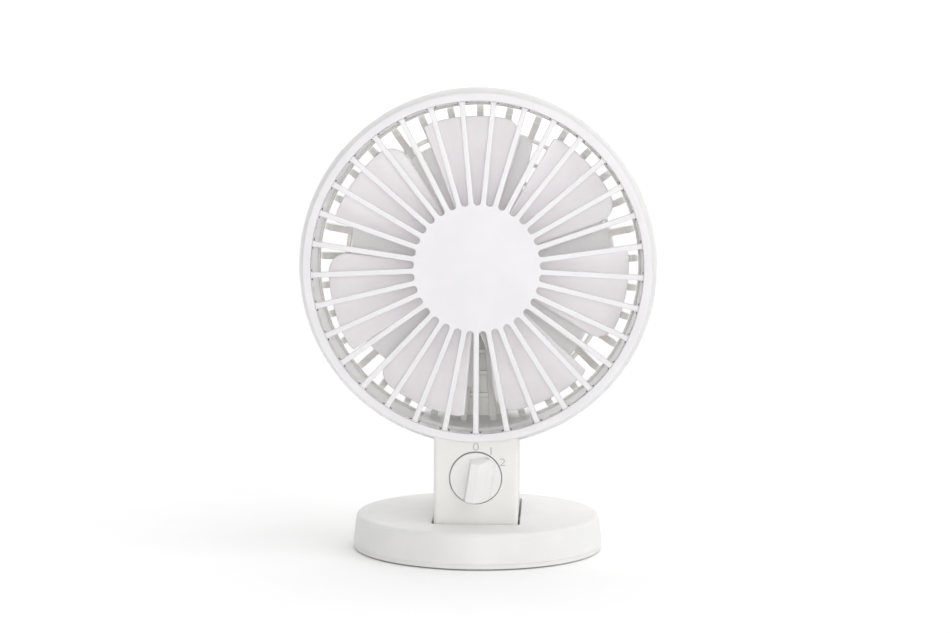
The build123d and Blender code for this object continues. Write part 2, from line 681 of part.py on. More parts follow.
STEM_SCREWS = [(sx * STEM_BOSS_X, z) for sx in (-1, 1) for z in STEM_BOSS_Z]
BOARD_SCREWS = [(sx * BOARD_SCREW_X, z) for sx in (-1, 1) for z in BOARD_SCREW_Z]
STEM_SHELL = stem_shell()


def stem_front():
    """Front shell of the stem, with the knob's hole."""
    return STEM_SHELL & block(-FAR, FAR, -FAR, STEM_SPLIT_Y, 0, FAR)


def stem_rear():
    """Rear shell of the stem, with the hinge boss."""
    return STEM_SHELL & block(-FAR, FAR, STEM_SPLIT_Y, FAR, 0, FAR)


def stem_screws():
    """Four screws from the back that pull the shells together."""
    seat = STEM_SPLIT_Y + STEM_SEAT
    tip = STEM_SPLIT_Y - STEM_BOSS_FRONT + STEM_BORE_FLOOR + SCREW_TIP_GAP
    return [bar_y(STEM_SCREW_HEAD_R, x, z, seat, seat + STEM_SCREW_HEAD_T)
            + bar_y(STEM_SCREW_R, x, z, tip, seat) for x, z in STEM_SCREWS]


def circuit_board():
    """Speed control board."""
    board = block(-BOARD_W / 2, BOARD_W / 2, BOARD_FRONT_Y, BOARD_BACK_Y, BOARD_LOW_Z, BOARD_HIGH_Z)
    for x, z in BOARD_SCREWS:
        board = board - bar_y(BOARD_SCREW_R + SCREW_HOLE_GAP, x, z, BOARD_FRONT_Y - PAST, BOARD_BACK_Y + PAST)
    return board


def board_screws():
    """Four screws that hold the board."""
    tip = BOARD_FRONT_Y - BOARD_SCREW_GRIP + SCREW_TIP_GAP
    return [bar_y(BOARD_SCREW_HEAD_R, x, z, BOARD_BACK_Y, BOARD_BACK_Y + BOARD_SCREW_HEAD_T)
            + bar_y(BOARD_SCREW_R, x, z, tip, BOARD_BACK_Y) for x, z in BOARD_SCREWS]


def rotary_switch():
    """Three-position switch body on the board."""
    half = SWITCH_SIZE / 2
    body = block(-half, half, SWITCH_FRONT_Y, BOARD_FRONT_Y, KNOB_Z - half, KNOB_Z + half)
    return body - bar_y(SHAFT_R + SHAFT_FIT, 0, KNOB_Z, SWITCH_FRONT_Y - PAST, SHAFT_END_Y + SHAFT_FIT)


def switch_shaft():
    """Shaft that the knob sits on."""
    return bar_y(SHAFT_R, 0, KNOB_Z, KNOB_FACE_Y + KNOB_ROOF, SHAFT_END_Y)


def knob():
    """Round knob with a wedge grip, held behind the stem's wall by a flange."""
    body = bar_y(KNOB_R, 0, KNOB_Z, KNOB_FACE_Y, KNOB_FLANGE_Y)
    body = chamfer(body.edges().group_by(Axis.Y)[0], KNOB_EDGE)
    body = body + bar_y(KNOB_FLANGE_R, 0, KNOB_Z, KNOB_FLANGE_Y, KNOB_FLANGE_Y + KNOB_FLANGE_T)
    left = GRIP_SHIFT - GRIP_W / 2
    right = GRIP_SHIFT + GRIP_W / 2
    outline = Polyline((left - GRIP_DRAFT, 1), (left, -GRIP_H), (right, -GRIP_H), (GRIP_SLOPE_END, 0),
                       (GRIP_SLOPE_END, 1), (left - GRIP_DRAFT, 1))
    wedge = extrude(make_face(outline), amount=KNOB_R, both=True)
    wedge = wedge & bar_y(KNOB_R - KNOB_EDGE, 0, 0, -GRIP_H - PAST, 2)
    wedge = Pos(0, KNOB_FACE_Y, KNOB_Z) * Rot(0, KNOB_TURN, 0) * wedge
    body = body + wedge
    return body - bar_y(SHAFT_R, 0, KNOB_Z, KNOB_FACE_Y + KNOB_ROOF, KNOB_FLANGE_Y + KNOB_FLANGE_T + PAST)


# ---------------------------------------------------------------- head casing
def front_grille():
    """Ring, radial spokes and plain centre disc in one moulding, with a catch lip."""
    plate_back = PLATE_SET_BACK + SPOKE_T
    step_r = RING_INNER_R + RING_STEP
    lip_r = drum_inner_at(RING_T) - LIP_FIT
    lip_back = RING_T + LIP_DEPTH
    disc = spun([Polyline((0, PLATE_SET_BACK), (step_r, PLATE_SET_BACK), (step_r, 0), (RING_R, 0),
                          (RING_R, RING_T), (lip_r, RING_T), (lip_r, lip_back), (step_r, lip_back),
                          (step_r, plate_back), (0, plate_back), (0, PLATE_SET_BACK))])
    rim = disc.edges().filter_by(GeomType.CIRCLE).group_by(Axis.Z)[0].sort_by(SortBy.RADIUS)[-1]
    disc = fillet(rim, RING_EDGE_R)
    disc = disc - PolarLocations(0, SPOKES, start_angle=90 + 180 / SPOKES) * grille_slot()
    nub = tube(lip_r + CATCH_OUT, step_r + RING_STEP, RING_T + LIP_DEPTH / 2, lip_back - RING_STEP)
    nub = nub & block(0, FAR, -CATCH_W / 2, CATCH_W / 2, 0, FAR)
    return disc + PolarLocations(0, CATCHES, start_angle=45) * nub


def grille_slot():
    """One slot between two spokes, pointing along +X."""
    half = radians(180 / SPOKES)
    w = SPOKE_W / 2

    def corner(radius, side):
        along = sqrt(radius ** 2 - w ** 2)
        return (along * cos(half) + w * sin(half), side * (along * sin(half) - w * cos(half)))

    edges = [
        ThreePointArc(corner(DISC_R, -1), (DISC_R, 0), corner(DISC_R, 1)),
        Line(corner(DISC_R, 1), corner(RING_INNER_R, 1)),
        ThreePointArc(corner(RING_INNER_R, 1), (RING_INNER_R, 0), corner(RING_INNER_R, -1)),
        Line(corner(RING_INNER_R, -1), corner(DISC_R, -1)),
    ]
    face = make_face(edges)
    face = fillet(face.vertices().group_by(Axis.X)[0], SLOT_END_R)
    face = fillet(face.vertices().group_by(Axis.X)[-1], SLOT_TIP_R)
    return extrude(Pos(0, 0, PLATE_SET_BACK - PAST) * face, amount=SPOKE_T + 2 * PAST)


def drum_wall():
    """Rounded outer wall of the head."""
    front_in = (drum_inner_at(RING_T), RING_T)
    top_in = toward(DRUM_TOP, DRUM_CENTRE, DRUM_WALL)
    back_in = toward(DRUM_BACK, DRUM_CENTRE, DRUM_WALL)
    return spun([
        ThreePointArc(DRUM_FRONT, DRUM_TOP, DRUM_BACK),
        Line(DRUM_BACK, back_in),
        ThreePointArc(back_in, top_in, front_in),
        Line(front_in, DRUM_FRONT),
    ])


def bowl_rib():
    """One deep rib of the rear guard, pointing along +X."""
    outer = DRUM_BACK_R - RIB_ROOT
    inner = HUB_R - RIB_ROOT
    middle = (outer + inner) / 2
    back = [bowl_point(radius, 0) for radius in (outer, middle, inner)]
    front = [bowl_point(radius, RIB_DEPTH) for radius in (inner, middle, outer)]
    face = Plane.XZ * make_face([
        ThreePointArc(*back),
        Line(back[2], front[0]),
        ThreePointArc(*front),
        Line(front[2], back[0]),
    ])
    return extrude(face, amount=RIB_W / 2, both=True)


def guard_rim():
    """Ring at the ribs' outer ends, seated inside the drum's rear edge."""
    outer = toward(DRUM_BACK, DRUM_CENTRE, DRUM_WALL)[0] - RIM_FIT
    return tube(outer, outer - RIM_W, RIM_FROM, RIM_TO)


def drum_ring():
    """Rounded outer wall of the head, with the floor and lid that close the stem below it."""
    floor = tube(DRUM_MAX_R + PAST, FLOOR_R, FLOOR_FROM, SPINE_FRONT_AT + SPINE_WALL)
    floor = floor & sector(FLOOR_HALF_ANGLE, 180, DRUM_MAX_R + 2 * PAST, 0, HEAD_BACK_AT)
    floor = floor & (drum_envelope(0) + rod(FLOOR_R + FLOOR_T, 0, HEAD_BACK_AT))
    lid = tube(FLOOR_R + FLOOR_T, FLOOR_R, SPINE_FRONT_AT, HEAD_BACK_AT)
    lid = lid & block(-STEM_HALF + LID_INSET, STEM_HALF - LID_INSET, 0, FAR, 0, HEAD_BACK_AT)
    window = block(-LEAD_WINDOW_W / 2, LEAD_WINDOW_W / 2, SPINE_BOSS_DOWN, FAR,
                   SPINE_FRONT_AT + 2 * SPINE_WALL, COVER_FROM - SPINE_WALL)
    return drum_wall() + floor + lid - window


def rear_guard():
    """Ribs, rings, motor cup, motor pod and hollow spine in one moulding."""
    shape = guard_rim() + PolarLocations(0, SPOKES, start_angle=-90) * bowl_rib()
    for radius in RING_RADII:
        back = bowl_at(radius) - RING_SET_IN
        shape = shape + tube(radius + RING_W / 2, radius - RING_W / 2, back - RING_DEPTH, back)
    hub = rod(HUB_R, BOWL_BACK_AT - HUB_DISC_T, BOWL_BACK_AT)
    pod = rod(HUB_R, BOWL_BACK_AT - PAST, COVER_FROM)
    spine = block(-SPINE_W / 2, SPINE_W / 2, 0, FLOOR_R, SPINE_FRONT_AT, COVER_FROM)
    spine = spine & rod(FLOOR_R, 0, COVER_FROM)
    spine = spine - rod(HUB_R - SPINE_WALL, 0, FAR)
    cup = rod(CUP_R, CUP_FRONT_AT, BOWL_BACK_AT)
    shape = shape + hub + pod + spine + cup
    shape = shape - rod(HUB_R - SPINE_WALL, BOWL_BACK_AT, FAR)
    shape = shape - block(-SPINE_W / 2 + SPINE_WALL, SPINE_W / 2 - SPINE_WALL, 0, FAR,
                          BOWL_BACK_AT + PAST, FAR)
    shape = shape - rod(CUP_R - CUP_WALL, CAN_FROM, BOWL_BACK_AT + PAST)
    seat = tube(CAN_R + MOTOR_FIT + SEAT_WALL, CAN_R + MOTOR_FIT, CAN_FROM - PAST, BOWL_BACK_AT)
    shape = shape + seat
    for x, y in COVER_SCREWS:
        shape = shape + Pos(x, y) * rod(COVER_BOSS_R, BOWL_BACK_AT - PAST, COVER_FROM)
        shape = shape - Pos(x, y) * rod(COVER_SCREW_R, COVER_FROM - COVER_SCREW_LEN, COVER_FROM + PAST)
    shape = shape - rod(CAN_NECK_R + MOTOR_FIT, 0, CAN_FROM + PAST)
    for side in (-1, 1):
        shape = shape - Pos(side * MOTOR_SCREW_X, 0) * rod(MOTOR_SCREW_R + SCREW_HOLE_GAP, 0, CAN_FROM + PAST)
    return shape - drum_ring()


COVER_SCREWS = [clock(a, COVER_BOSS_PLACE) for a in COVER_BOSS_ANGLES] + [(0, SPINE_BOSS_DOWN)]


def rear_cover():
    """Back cover of the motor pod and spine, with vent slits."""
    shape = rod(HUB_R, COVER_FROM, HEAD_BACK_AT)
    tail = block(-SPINE_W / 2, SPINE_W / 2, 0, FLOOR_R, COVER_FROM, HEAD_BACK_AT)
    shape = shape + (tail & rod(FLOOR_R - COVER_GAP, COVER_FROM - PAST, HEAD_BACK_AT + PAST))
    shape = fillet(shape.edges().group_by(Axis.Z)[-1], COVER_EDGE_R)
    for step in range(-VENT_SIDE, VENT_SIDE + 1):
        slit = Rot(0, 0, 90) * SlotOverall(VENT_LEN, VENT_W)
        cut = extrude(Pos(step * VENT_PITCH, 0, COVER_FROM - PAST) * slit, amount=COVER_T + 2 * PAST)
        shape = shape - cut
    for x, y in COVER_SCREWS:
        shape = shape - Pos(x, y) * rod(COVER_SCREW_R + SCREW_HOLE_GAP, COVER_FROM - PAST, HEAD_BACK_AT)
        shape = shape - Pos(x, y) * rod(COVER_SCREW_HEAD_R + HEAD_HOLE_GAP, COVER_SEAT, HEAD_BACK_AT + PAST)
    return shape


COVER_SEAT = HEAD_BACK_AT - COVER_SCREW_HEAD_T


def cover_screws():
    """Four screws in the rear cover."""
    tip = COVER_FROM - COVER_SCREW_LEN + SCREW_TIP_GAP
    return [Pos(x, y) * (rod(COVER_SCREW_HEAD_R, COVER_SEAT, HEAD_BACK_AT - HEAD_SUNK)
                         + rod(COVER_SCREW_R, tip, COVER_SEAT)) for x, y in COVER_SCREWS]


# ---------------------------------------------------------------- motor
def motor_can():
    """Drawn steel can with its front neck."""
    can = rod(CAN_R, CAN_FROM, CAN_TO) + rod(CAN_NECK_R, CUP_FRONT_AT + NECK_BACK, CAN_FROM)
    can = can - rod(CAN_INNER_R, CAN_FROM + CAN_WALL, CAN_TO + PAST) - rod(BUSH_R, 0, CAN_TO)
    for side in (-1, 1):
        can = can - Pos(side * MOTOR_SCREW_X, 0) * rod(MOTOR_SCREW_R, 0, CAN_FROM + CAN_WALL + PAST)
    return can


def motor_end_cap():
    """Moulded end cap with the rear bearing seat."""
    cap = rod(CAN_INNER_R, CAN_TO - CAP_T, CAN_TO) + rod(BUSH_R + CAP_BOSS_WALL, CAN_TO, REAR_BUSH_TO)
    cap = cap - rod(BUSH_R, 0, REAR_BUSH_TO + PAST)
    for side in (-1, 1):
        cap = cap - block(TERMINAL_X - TAB_T / 2, TERMINAL_X + TAB_T / 2, -TAB_W / 2, TAB_W / 2,
                          CAN_TO - CAP_T - PAST, CAN_TO + PAST).rotate(Axis.Z, 90 - 90 * side)
    return cap


FRONT_BUSH_FROM = CUP_FRONT_AT + 2 * MOTOR_CLEAR
REAR_BUSH_TO = CAN_TO + BUSH_PAST
REAR_BUSH_FROM = REAR_BUSH_TO - BUSH_LEN


def motor_bushes():
    """Front and rear plain bearings."""
    bore = MOTOR_SHAFT_R + MOTOR_FIT
    return [tube(BUSH_R, bore, FRONT_BUSH_FROM, FRONT_BUSH_FROM + BUSH_LEN),
            tube(BUSH_R, bore, REAR_BUSH_FROM, REAR_BUSH_TO)]


def motor_brushes():
    """Two brushes with their terminal tabs."""
    pair = []
    inner = COMMUTATOR_R + BRUSH_GAP
    for side in (-1, 1):
        brush = block(inner, TERMINAL_X + TAB_T / 2, -TAB_W / 2, TAB_W / 2,
                      CAN_TO - CAP_T - BRUSH_W, CAN_TO - CAP_T)
        tab = block(TERMINAL_X - TAB_T / 2, TERMINAL_X + TAB_T / 2, -TAB_W / 2, TAB_W / 2,
                    CAN_TO - CAP_T, LEAD_AT + TAB_PAST)
        pair.append((brush + tab).rotate(Axis.Z, 90 - 90 * side))
    return pair


def motor_magnets():
    """Two arc magnets bonded in the can."""
    start = MOTOR_MIDDLE - MAGNET_LEN / 2
    end = MOTOR_MIDDLE + MAGNET_LEN / 2
    ring = tube(CAN_INNER_R, CAN_INNER_R - MAGNET_T, start, end)
    return [ring & sector(MAGNET_HALF_ANGLE, angle, CAN_R, start - PAST, end + PAST) for angle in (90, 270)]


CORE_FROM = MOTOR_MIDDLE - CORE_LEN / 2
CORE_TO = MOTOR_MIDDLE + CORE_LEN / 2


def rotor_core():
    """Laminated three-pole armature."""
    rim = tube(CORE_R, CORE_R - CORE_RIM, CORE_FROM, CORE_TO)
    slot = block(0, CORE_R + PAST, -CORE_SLOT_W / 2, CORE_SLOT_W / 2, 0, CORE_TO + PAST)
    rim = rim - PolarLocations(0, CORE_POLES, start_angle=180 / CORE_POLES) * slot
    neck = block(0, CORE_R - CORE_RIM / 2, -CORE_NECK / 2, CORE_NECK / 2, CORE_FROM, CORE_TO)
    core = rim + PolarLocations(0, CORE_POLES) * neck + rod(CORE_HUB_R, CORE_FROM, CORE_TO)
    return core - rod(MOTOR_SHAFT_R, 0, CAN_TO)


def rotor_windings():
    """One coil round each pole."""
    half = CORE_NECK / 2 + COIL_T
    coil = block(CORE_HUB_R + COIL_GAP, CORE_R - CORE_RIM - COIL_GAP, -half, half,
                 CORE_FROM - COIL_T, CORE_TO + COIL_T)
    coil = fillet(coil.edges().filter_by(Axis.X), COIL_ROUND)
    coil = coil & tube(CORE_R - CORE_RIM - COIL_GAP, CORE_HUB_R + COIL_GAP, 0, CAN_TO)
    coil = coil - block(0, CORE_R, -CORE_NECK / 2, CORE_NECK / 2, CORE_FROM, CORE_TO)
    return [Rot(0, 0, 360 / CORE_POLES * k) * coil for k in range(CORE_POLES)]


def commutator():
    """Copper ring that the brushes rub."""
    end = CAN_TO - CAP_T - MOTOR_CLEAR
    return tube(COMMUTATOR_R, MOTOR_SHAFT_R, end - COMMUTATOR_LEN, end)


def motor_shaft():
    """One shaft through the motor, the gears and the front impeller."""
    return rod(MOTOR_SHAFT_R, MOTOR_SHAFT_FROM, MOTOR_SHAFT_TO)


def motor_screws():
    """Two screws through the gear plate and the cup into the motor."""
    tip = CAN_FROM + CAN_WALL + MOTOR_CLEAR
    return [Pos(side * MOTOR_SCREW_X, 0) * (rod(MOTOR_SCREW_HEAD_R, GEAR_PLATE_FROM - MOTOR_SCREW_HEAD_T,
                                                GEAR_PLATE_FROM) + rod(MOTOR_SCREW_R, GEAR_PLATE_FROM, tip))
            for side in (-1, 1)]


def motor_leads():
    """Two leads from the board, up the spine, to the motor's terminals."""
    y = HEAD_FRONT_Y + LEAD_AT
    pair = []
    for side in (-1, 1):
        x = side * TERMINAL_X
        path = FilletPolyline((x, BOARD_BACK_Y, LEAD_Z), (x, y, LEAD_Z), (x, y, HEAD_Z - TAB_W / 2),
                              radius=LEAD_BEND)
        start = Plane(origin=(x, BOARD_BACK_Y, LEAD_Z), z_dir=(0, 1, 0))
        pair.append(sweep(start * Circle(LEAD_R), path=path))
    return pair


# ---------------------------------------------------------------- reversing gears
def involute(angle):
    """Involute function of a pressure angle in radians."""
    return tan(angle) - angle


def tooth_half_angle(teeth, radius, inner):
    """Half the angle that a tooth takes at a radius."""
    pitch_r = MODULE * teeth / 2
    base_r = pitch_r * cos(radians(PRESSURE_ANGLE))
    there = 0.0
    if radius > base_r:
        there = atan2(sqrt(radius ** 2 - base_r ** 2), base_r)
    grow = involute(radians(PRESSURE_ANGLE)) - involute(there)
    if inner:
        grow = -grow
    return pi / (2 * teeth) + grow - BACKLASH / (2 * pitch_r)


def gear_outline(teeth, tip_r, root_r, inner=False):
    """Closed outline of a gear with a tooth centred on +X."""
    points = []
    for k in range(teeth):
        middle = 2 * pi * k / teeth
        flank = []
        for share in (0.0, 0.35, 0.7, 1.0):
            radius = root_r + (tip_r - root_r) * share
            flank.append((radius, tooth_half_angle(teeth, radius, inner)))
        points += [(r * cos(middle - h), r * sin(middle - h)) for r, h in flank]
        points += [(r * cos(middle + h), r * sin(middle + h)) for r, h in reversed(flank)]
    points.append(points[0])
    return make_face(Polyline(*points))


def gear_solid(outline):
    """Gear outline raised through the gear face."""
    return extrude(Pos(0, 0, GEAR_FROM) * outline, amount=GEAR_FACE)


def sun_pinion():
    """Pinion on the motor shaft, with a tooth towards each planet gear."""
    outline = gear_outline(SUN_TEETH, SUN_R + ADDENDUM * MODULE, SUN_R - DEDENDUM * MODULE)
    return turned(gear_solid(outline), -90) - rod(MOTOR_SHAFT_R, 0, GEAR_TO + PAST)


def planet_gear(index):
    """Idler gear on a fixed pin; it has a space towards the sun and towards the ring."""
    outline = gear_outline(PLANET_TEETH, PLANET_R + ADDENDUM * MODULE, PLANET_R - DEDENDUM * MODULE)
    wheel = gear_solid(outline) - rod(PLANET_PIN_R + PLANET_FIT, 0, GEAR_TO + PAST)
    wheel = Rot(0, 0, 180 / PLANET_TEETH) * wheel
    return turned(Pos(PLANET_PLACE, 0, 0) * wheel, PLANET_ANGLES[index] - 90)


def ring_gear():
    """Internal gear pressed into the rear impeller's hub."""
    tip_r = RING_GEAR_R - ADDENDUM * MODULE
    root_r = RING_GEAR_R + DEDENDUM * MODULE
    outline = gear_outline(RING_TEETH, tip_r, root_r, inner=True)
    return tube(RING_GEAR_OUTER_R, SUN_R, GEAR_FROM, GEAR_TO) - turned(gear_solid(outline), -90)


PLANET_ANGLES = [360 / PLANETS * k for k in range(PLANETS)]
PLANET_CENTRES = [clock(angle, PLANET_PLACE) for angle in PLANET_ANGLES]


def gear_plate():
    """Fixed plate that carries the planet pins."""
    plate_to = GEAR_PLATE_FROM + GEAR_PLATE_T
    shape = rod(GEAR_PLATE_R, GEAR_PLATE_FROM, plate_to) + rod(GEAR_PLATE_FOOT_R, plate_to, CUP_FRONT_AT)
    for x, y in PLANET_CENTRES:
        shape = shape + Pos(x, y) * rod(PLANET_BOSS_R, GEAR_TO + GEAR_SIDE_GAP, GEAR_PLATE_FROM)
        shape = shape - Pos(x, y) * rod(PLANET_PIN_R, 0, plate_to + PAST)
    for side in (-1, 1):
        hole = rod(MOTOR_SCREW_R + SCREW_HOLE_GAP, 0, CUP_FRONT_AT + PAST)
        shape = shape - Pos(side * MOTOR_SCREW_X, 0) * hole
    return shape - rod(MOTOR_SHAFT_R + SHAFT_CLEAR, 0, CUP_FRONT_AT + PAST)


def planet_pins():
    """Three steel pins for the planet gears."""
    return [Pos(x, y) * rod(PLANET_PIN_R, GEAR_FROM - GEAR_SIDE_GAP, GEAR_PLATE_FROM + GEAR_PLATE_T)
            for x, y in PLANET_CENTRES]


# ---------------------------------------------------------------- impellers
def front_blade():
    """Twisted blade about +X; its turning edge lies deeper than its trailing edge."""
    half = radians(FRONT_BLADE_SPAN / 2)
    slope = (FRONT_BLADE_TO - FRONT_BLADE_FROM) / (2 * half)
    wide = half + radians(BLADE_MARGIN)
    middle = (FRONT_BLADE_FROM + FRONT_BLADE_TO) / 2
    sections = []
    for radius in (FRONT_HUB_R - 2 * HUB_WALL, FRONT_TIP_R + 2 * HUB_WALL):
        w = radius * tan(wide)
        low = middle - slope * wide
        high = middle + slope * wide
        top = middle + BLADE_CAMBER
        face = make_face([
            ThreePointArc((-w, low), (0, top), (w, high)),
            Line((w, high), (w, high + BLADE_T)),
            ThreePointArc((w, high + BLADE_T), (0, top + BLADE_T), (-w, low + BLADE_T)),
            Line((-w, low + BLADE_T), (-w, low)),
        ])
        sections.append(Plane(origin=(radius, 0, 0), x_dir=(0, 1, 0), z_dir=(1, 0, 0)) * face)
    sheet = loft(sections, ruled=True)
    root = FRONT_HUB_R - HUB_WALL / 2

    def at(radius, angle):
        return (radius * cos(angle), radius * sin(angle))

    outline = make_face([
        Line(at(root, -half), at(FRONT_TIP_R, -half)),
        ThreePointArc(at(FRONT_TIP_R, -half), at(FRONT_TIP_R, 0), at(FRONT_TIP_R, half)),
        Line(at(FRONT_TIP_R, half), at(root, half)),
        ThreePointArc(at(root, half), at(root, 0), at(root, -half)),
    ])
    deep_corner = outline.vertices().sort_by_distance(at(FRONT_TIP_R, half))[0]
    outline = fillet(deep_corner, FRONT_TIP_ROUND)
    thin_corner = outline.vertices().sort_by_distance(at(FRONT_TIP_R, -half))[0]
    outline = fillet(thin_corner, BLADE_CORNER_R)
    return sheet & extrude(outline, amount=REAR_HUB_FROM + BLADE_T)


def front_impeller():
    """Seven-bladed impeller, fixed on the shaft."""
    hub = tube(FRONT_HUB_R, FRONT_HUB_R - HUB_WALL, FRONT_HUB_FROM, FRONT_HUB_TO)
    hub = hub + rod(FRONT_HUB_R, FRONT_HUB_FROM, FRONT_HUB_FROM + HUB_WALL)
    hub = hub + rod(HUB_BOSS_R, FRONT_HUB_FROM, FRONT_HUB_TO + BOSS_PAST)
    blade = front_blade()
    step = 360 / FRONT_BLADES
    first = FRONT_BLADE_START + FRONT_BLADE_SPAN / 2
    for k in range(FRONT_BLADES):
        hub = hub + turned(blade, first - 90 + step * k)
    return hub - rod(MOTOR_SHAFT_R, MOTOR_SHAFT_FROM, FRONT_HUB_TO + PAST)


def rear_blade():
    """Wide blade with one straight edge, drawn with that edge along +X."""
    tip_x = sqrt(REAR_TIP_R ** 2 - REAR_EDGE_OFFSET ** 2)
    edge_angle = asin(REAR_EDGE_OFFSET / REAR_TIP_R)
    far = edge_angle - radians(REAR_BLADE_SPAN)
    middle = edge_angle - radians(REAR_BLADE_SPAN) / 2
    root = REAR_HUB_R - HUB_WALL / 2
    root_x = sqrt(root ** 2 - REAR_EDGE_OFFSET ** 2)

    def at(radius, angle):
        return (radius * cos(angle), radius * sin(angle))

    outline = make_face([
        Line((root_x, REAR_EDGE_OFFSET), (tip_x, REAR_EDGE_OFFSET)),
        ThreePointArc((tip_x, REAR_EDGE_OFFSET), at((REAR_TIP_R + REAR_TIP_R_TRAILING) / 2, middle),
                      at(REAR_TIP_R_TRAILING, far)),
        Line(at(REAR_TIP_R_TRAILING, far), at(root, far)),
        ThreePointArc(at(root, far), at(root, 0), (root_x, REAR_EDGE_OFFSET)),
    ])
    for corner in ((tip_x, REAR_EDGE_OFFSET), at(REAR_TIP_R_TRAILING, far)):
        outline = fillet(outline.vertices().sort_by_distance(corner)[0], REAR_TIP_ROUND)
    low_y = REAR_TIP_R_TRAILING * sin(far)
    slope = (REAR_BLADE_TO - REAR_BLADE_FROM) / (REAR_EDGE_OFFSET - low_y)
    near = (REAR_EDGE_OFFSET + PAST, REAR_BLADE_FROM - slope * PAST)
    deep = (low_y - PAST, REAR_BLADE_TO + slope * PAST)
    top = ((near[0] + deep[0]) / 2, (near[1] + deep[1]) / 2 + BLADE_CAMBER)
    sheet = make_face([
        ThreePointArc(near, top, deep),
        Line(deep, (deep[0], deep[1] + BLADE_T)),
        ThreePointArc((deep[0], deep[1] + BLADE_T), (top[0], top[1] + BLADE_T), (near[0], near[1] + BLADE_T)),
        Line((near[0], near[1] + BLADE_T), near),
    ])
    sheet = extrude(Plane.YZ * sheet, amount=REAR_TIP_R + HUB_WALL)
    return sheet & extrude(outline, amount=CUP_FRONT_AT)


def rear_impeller():
    """Five-bladed impeller, driven the other way by its ring gear."""
    hub = tube(REAR_HUB_R, RING_GEAR_OUTER_R, REAR_HUB_FROM, REAR_HUB_TO)
    hub = hub + rod(REAR_HUB_R, REAR_HUB_FROM, REAR_HUB_FROM + HUB_WALL)
    hub = hub + rod(REAR_HUB_BOSS_R, REAR_HUB_FROM, GEAR_FROM - GEAR_SIDE_GAP)
    blade = rear_blade() - rod(REAR_HUB_R - HUB_WALL / 2, 0, REAR_HUB_TO)
    for k in range(REAR_BLADES):
        hub = hub + turned(blade, REAR_EDGE_ANGLE - 90 + 360 / REAR_BLADES * k)
    return hub - rod(WHEEL_BUSH_R, REAR_HUB_FROM - PAST, REAR_HUB_TO)


def impeller_bush():
    """Bush on which the rear impeller runs freely on the shaft."""
    return tube(WHEEL_BUSH_R, MOTOR_SHAFT_R + MOTOR_FIT, REAR_HUB_FROM, GEAR_FROM - GEAR_SIDE_GAP)


# ---------------------------------------------------------------- output
def in_head(shape):
    """Shape or list of shapes moved from the head's frame to the fan's frame."""
    if isinstance(shape, list):
        return [HEAD * one for one in shape]
    return HEAD * shape


def save(name, shape):
    """Write one node, as one solid or as a group of separate solids."""
    if isinstance(shape, list):
        solids = [solid for one in shape for solid in one.solids()]
    else:
        solids = list(shape.solids())
    result = solids[0] if len(solids) == 1 else Compound(children=solids)
    result.label = name
    export_step(result, os.path.join("parts", name + ".step"))


BRACKET_TOP_Z = PLATE_TOP_Z + BRACKET_T
save("base_cover", base_cover())
save("base_plate", base_plate())
save("rubber_feet", rubber_feet())
save("base_screws", low_screws(BASE_SCREWS, PLATE_TOP_Z + BASE_SCREW_GRIP - SCREW_TIP_GAP))
save("base_weights", base_weights())
save("weight_screws", low_screws(WEIGHT_SCREWS, PLATE_TOP_Z + WEIGHT_SCREW_GRIP - SCREW_TIP_GAP))
save("pivot_bracket", pivot_bracket())
save("bracket_screws", low_screws(BRACKET_SCREWS, BRACKET_TOP_Z))
save("tilt_pin", tilt_pin())
save("pin_clip", pin_clip())
save("power_inlet", power_inlet())
save("inlet_tongue", inlet_tongue())
save("inlet_board", inlet_board())

save("friction_washers", friction_washers())
save("stem_front", stem_front())
save("stem_rear", stem_rear())
save("stem_screws", stem_screws())
save("circuit_board", circuit_board())
save("board_screws", board_screws())
save("rotary_switch", rotary_switch())
save("switch_shaft", switch_shaft())
save("knob", knob())

HEAD_PIECES = {
    "front_grille": front_grille,
    "drum_ring": drum_ring,
    "rear_guard": rear_guard,
    "rear_cover": rear_cover,
    "cover_screws": cover_screws,
    "motor_can": motor_can,
    "motor_end_cap": motor_end_cap,
    "motor_bushes": motor_bushes,
    "motor_brushes": motor_brushes,
    "motor_magnets": motor_magnets,
    "rotor_core": rotor_core,
    "rotor_windings": rotor_windings,
    "commutator": commutator,
    "motor_shaft": motor_shaft,
    "motor_screws": motor_screws,
    "sun_pinion": sun_pinion,
    "ring_gear": ring_gear,
    "gear_plate": gear_plate,
    "planet_pins": planet_pins,
    "front_impeller": front_impeller,
    "rear_impeller": rear_impeller,
    "impeller_bush": impeller_bush,
}
for name, build in HEAD_PIECES.items():
    save(name, in_head(build()))
for index in range(PLANETS):
    save("planet_gear_" + str(index + 1), in_head(planet_gear(index)))
save("motor_leads", motor_leads())
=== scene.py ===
"""Looks of a small desk fan with two counter-turning impellers.

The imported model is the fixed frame. Every casing, wheel and knob that shows is modelled
here around it, and what stays from the frame gets its finish here.
"""

import json
import logging
import math
from contextlib import contextmanager
from dataclasses import dataclass
from enum import Enum
from typing import Callable, Iterator, Sequence

import bmesh
import bpy
from mathutils import Matrix, Vector


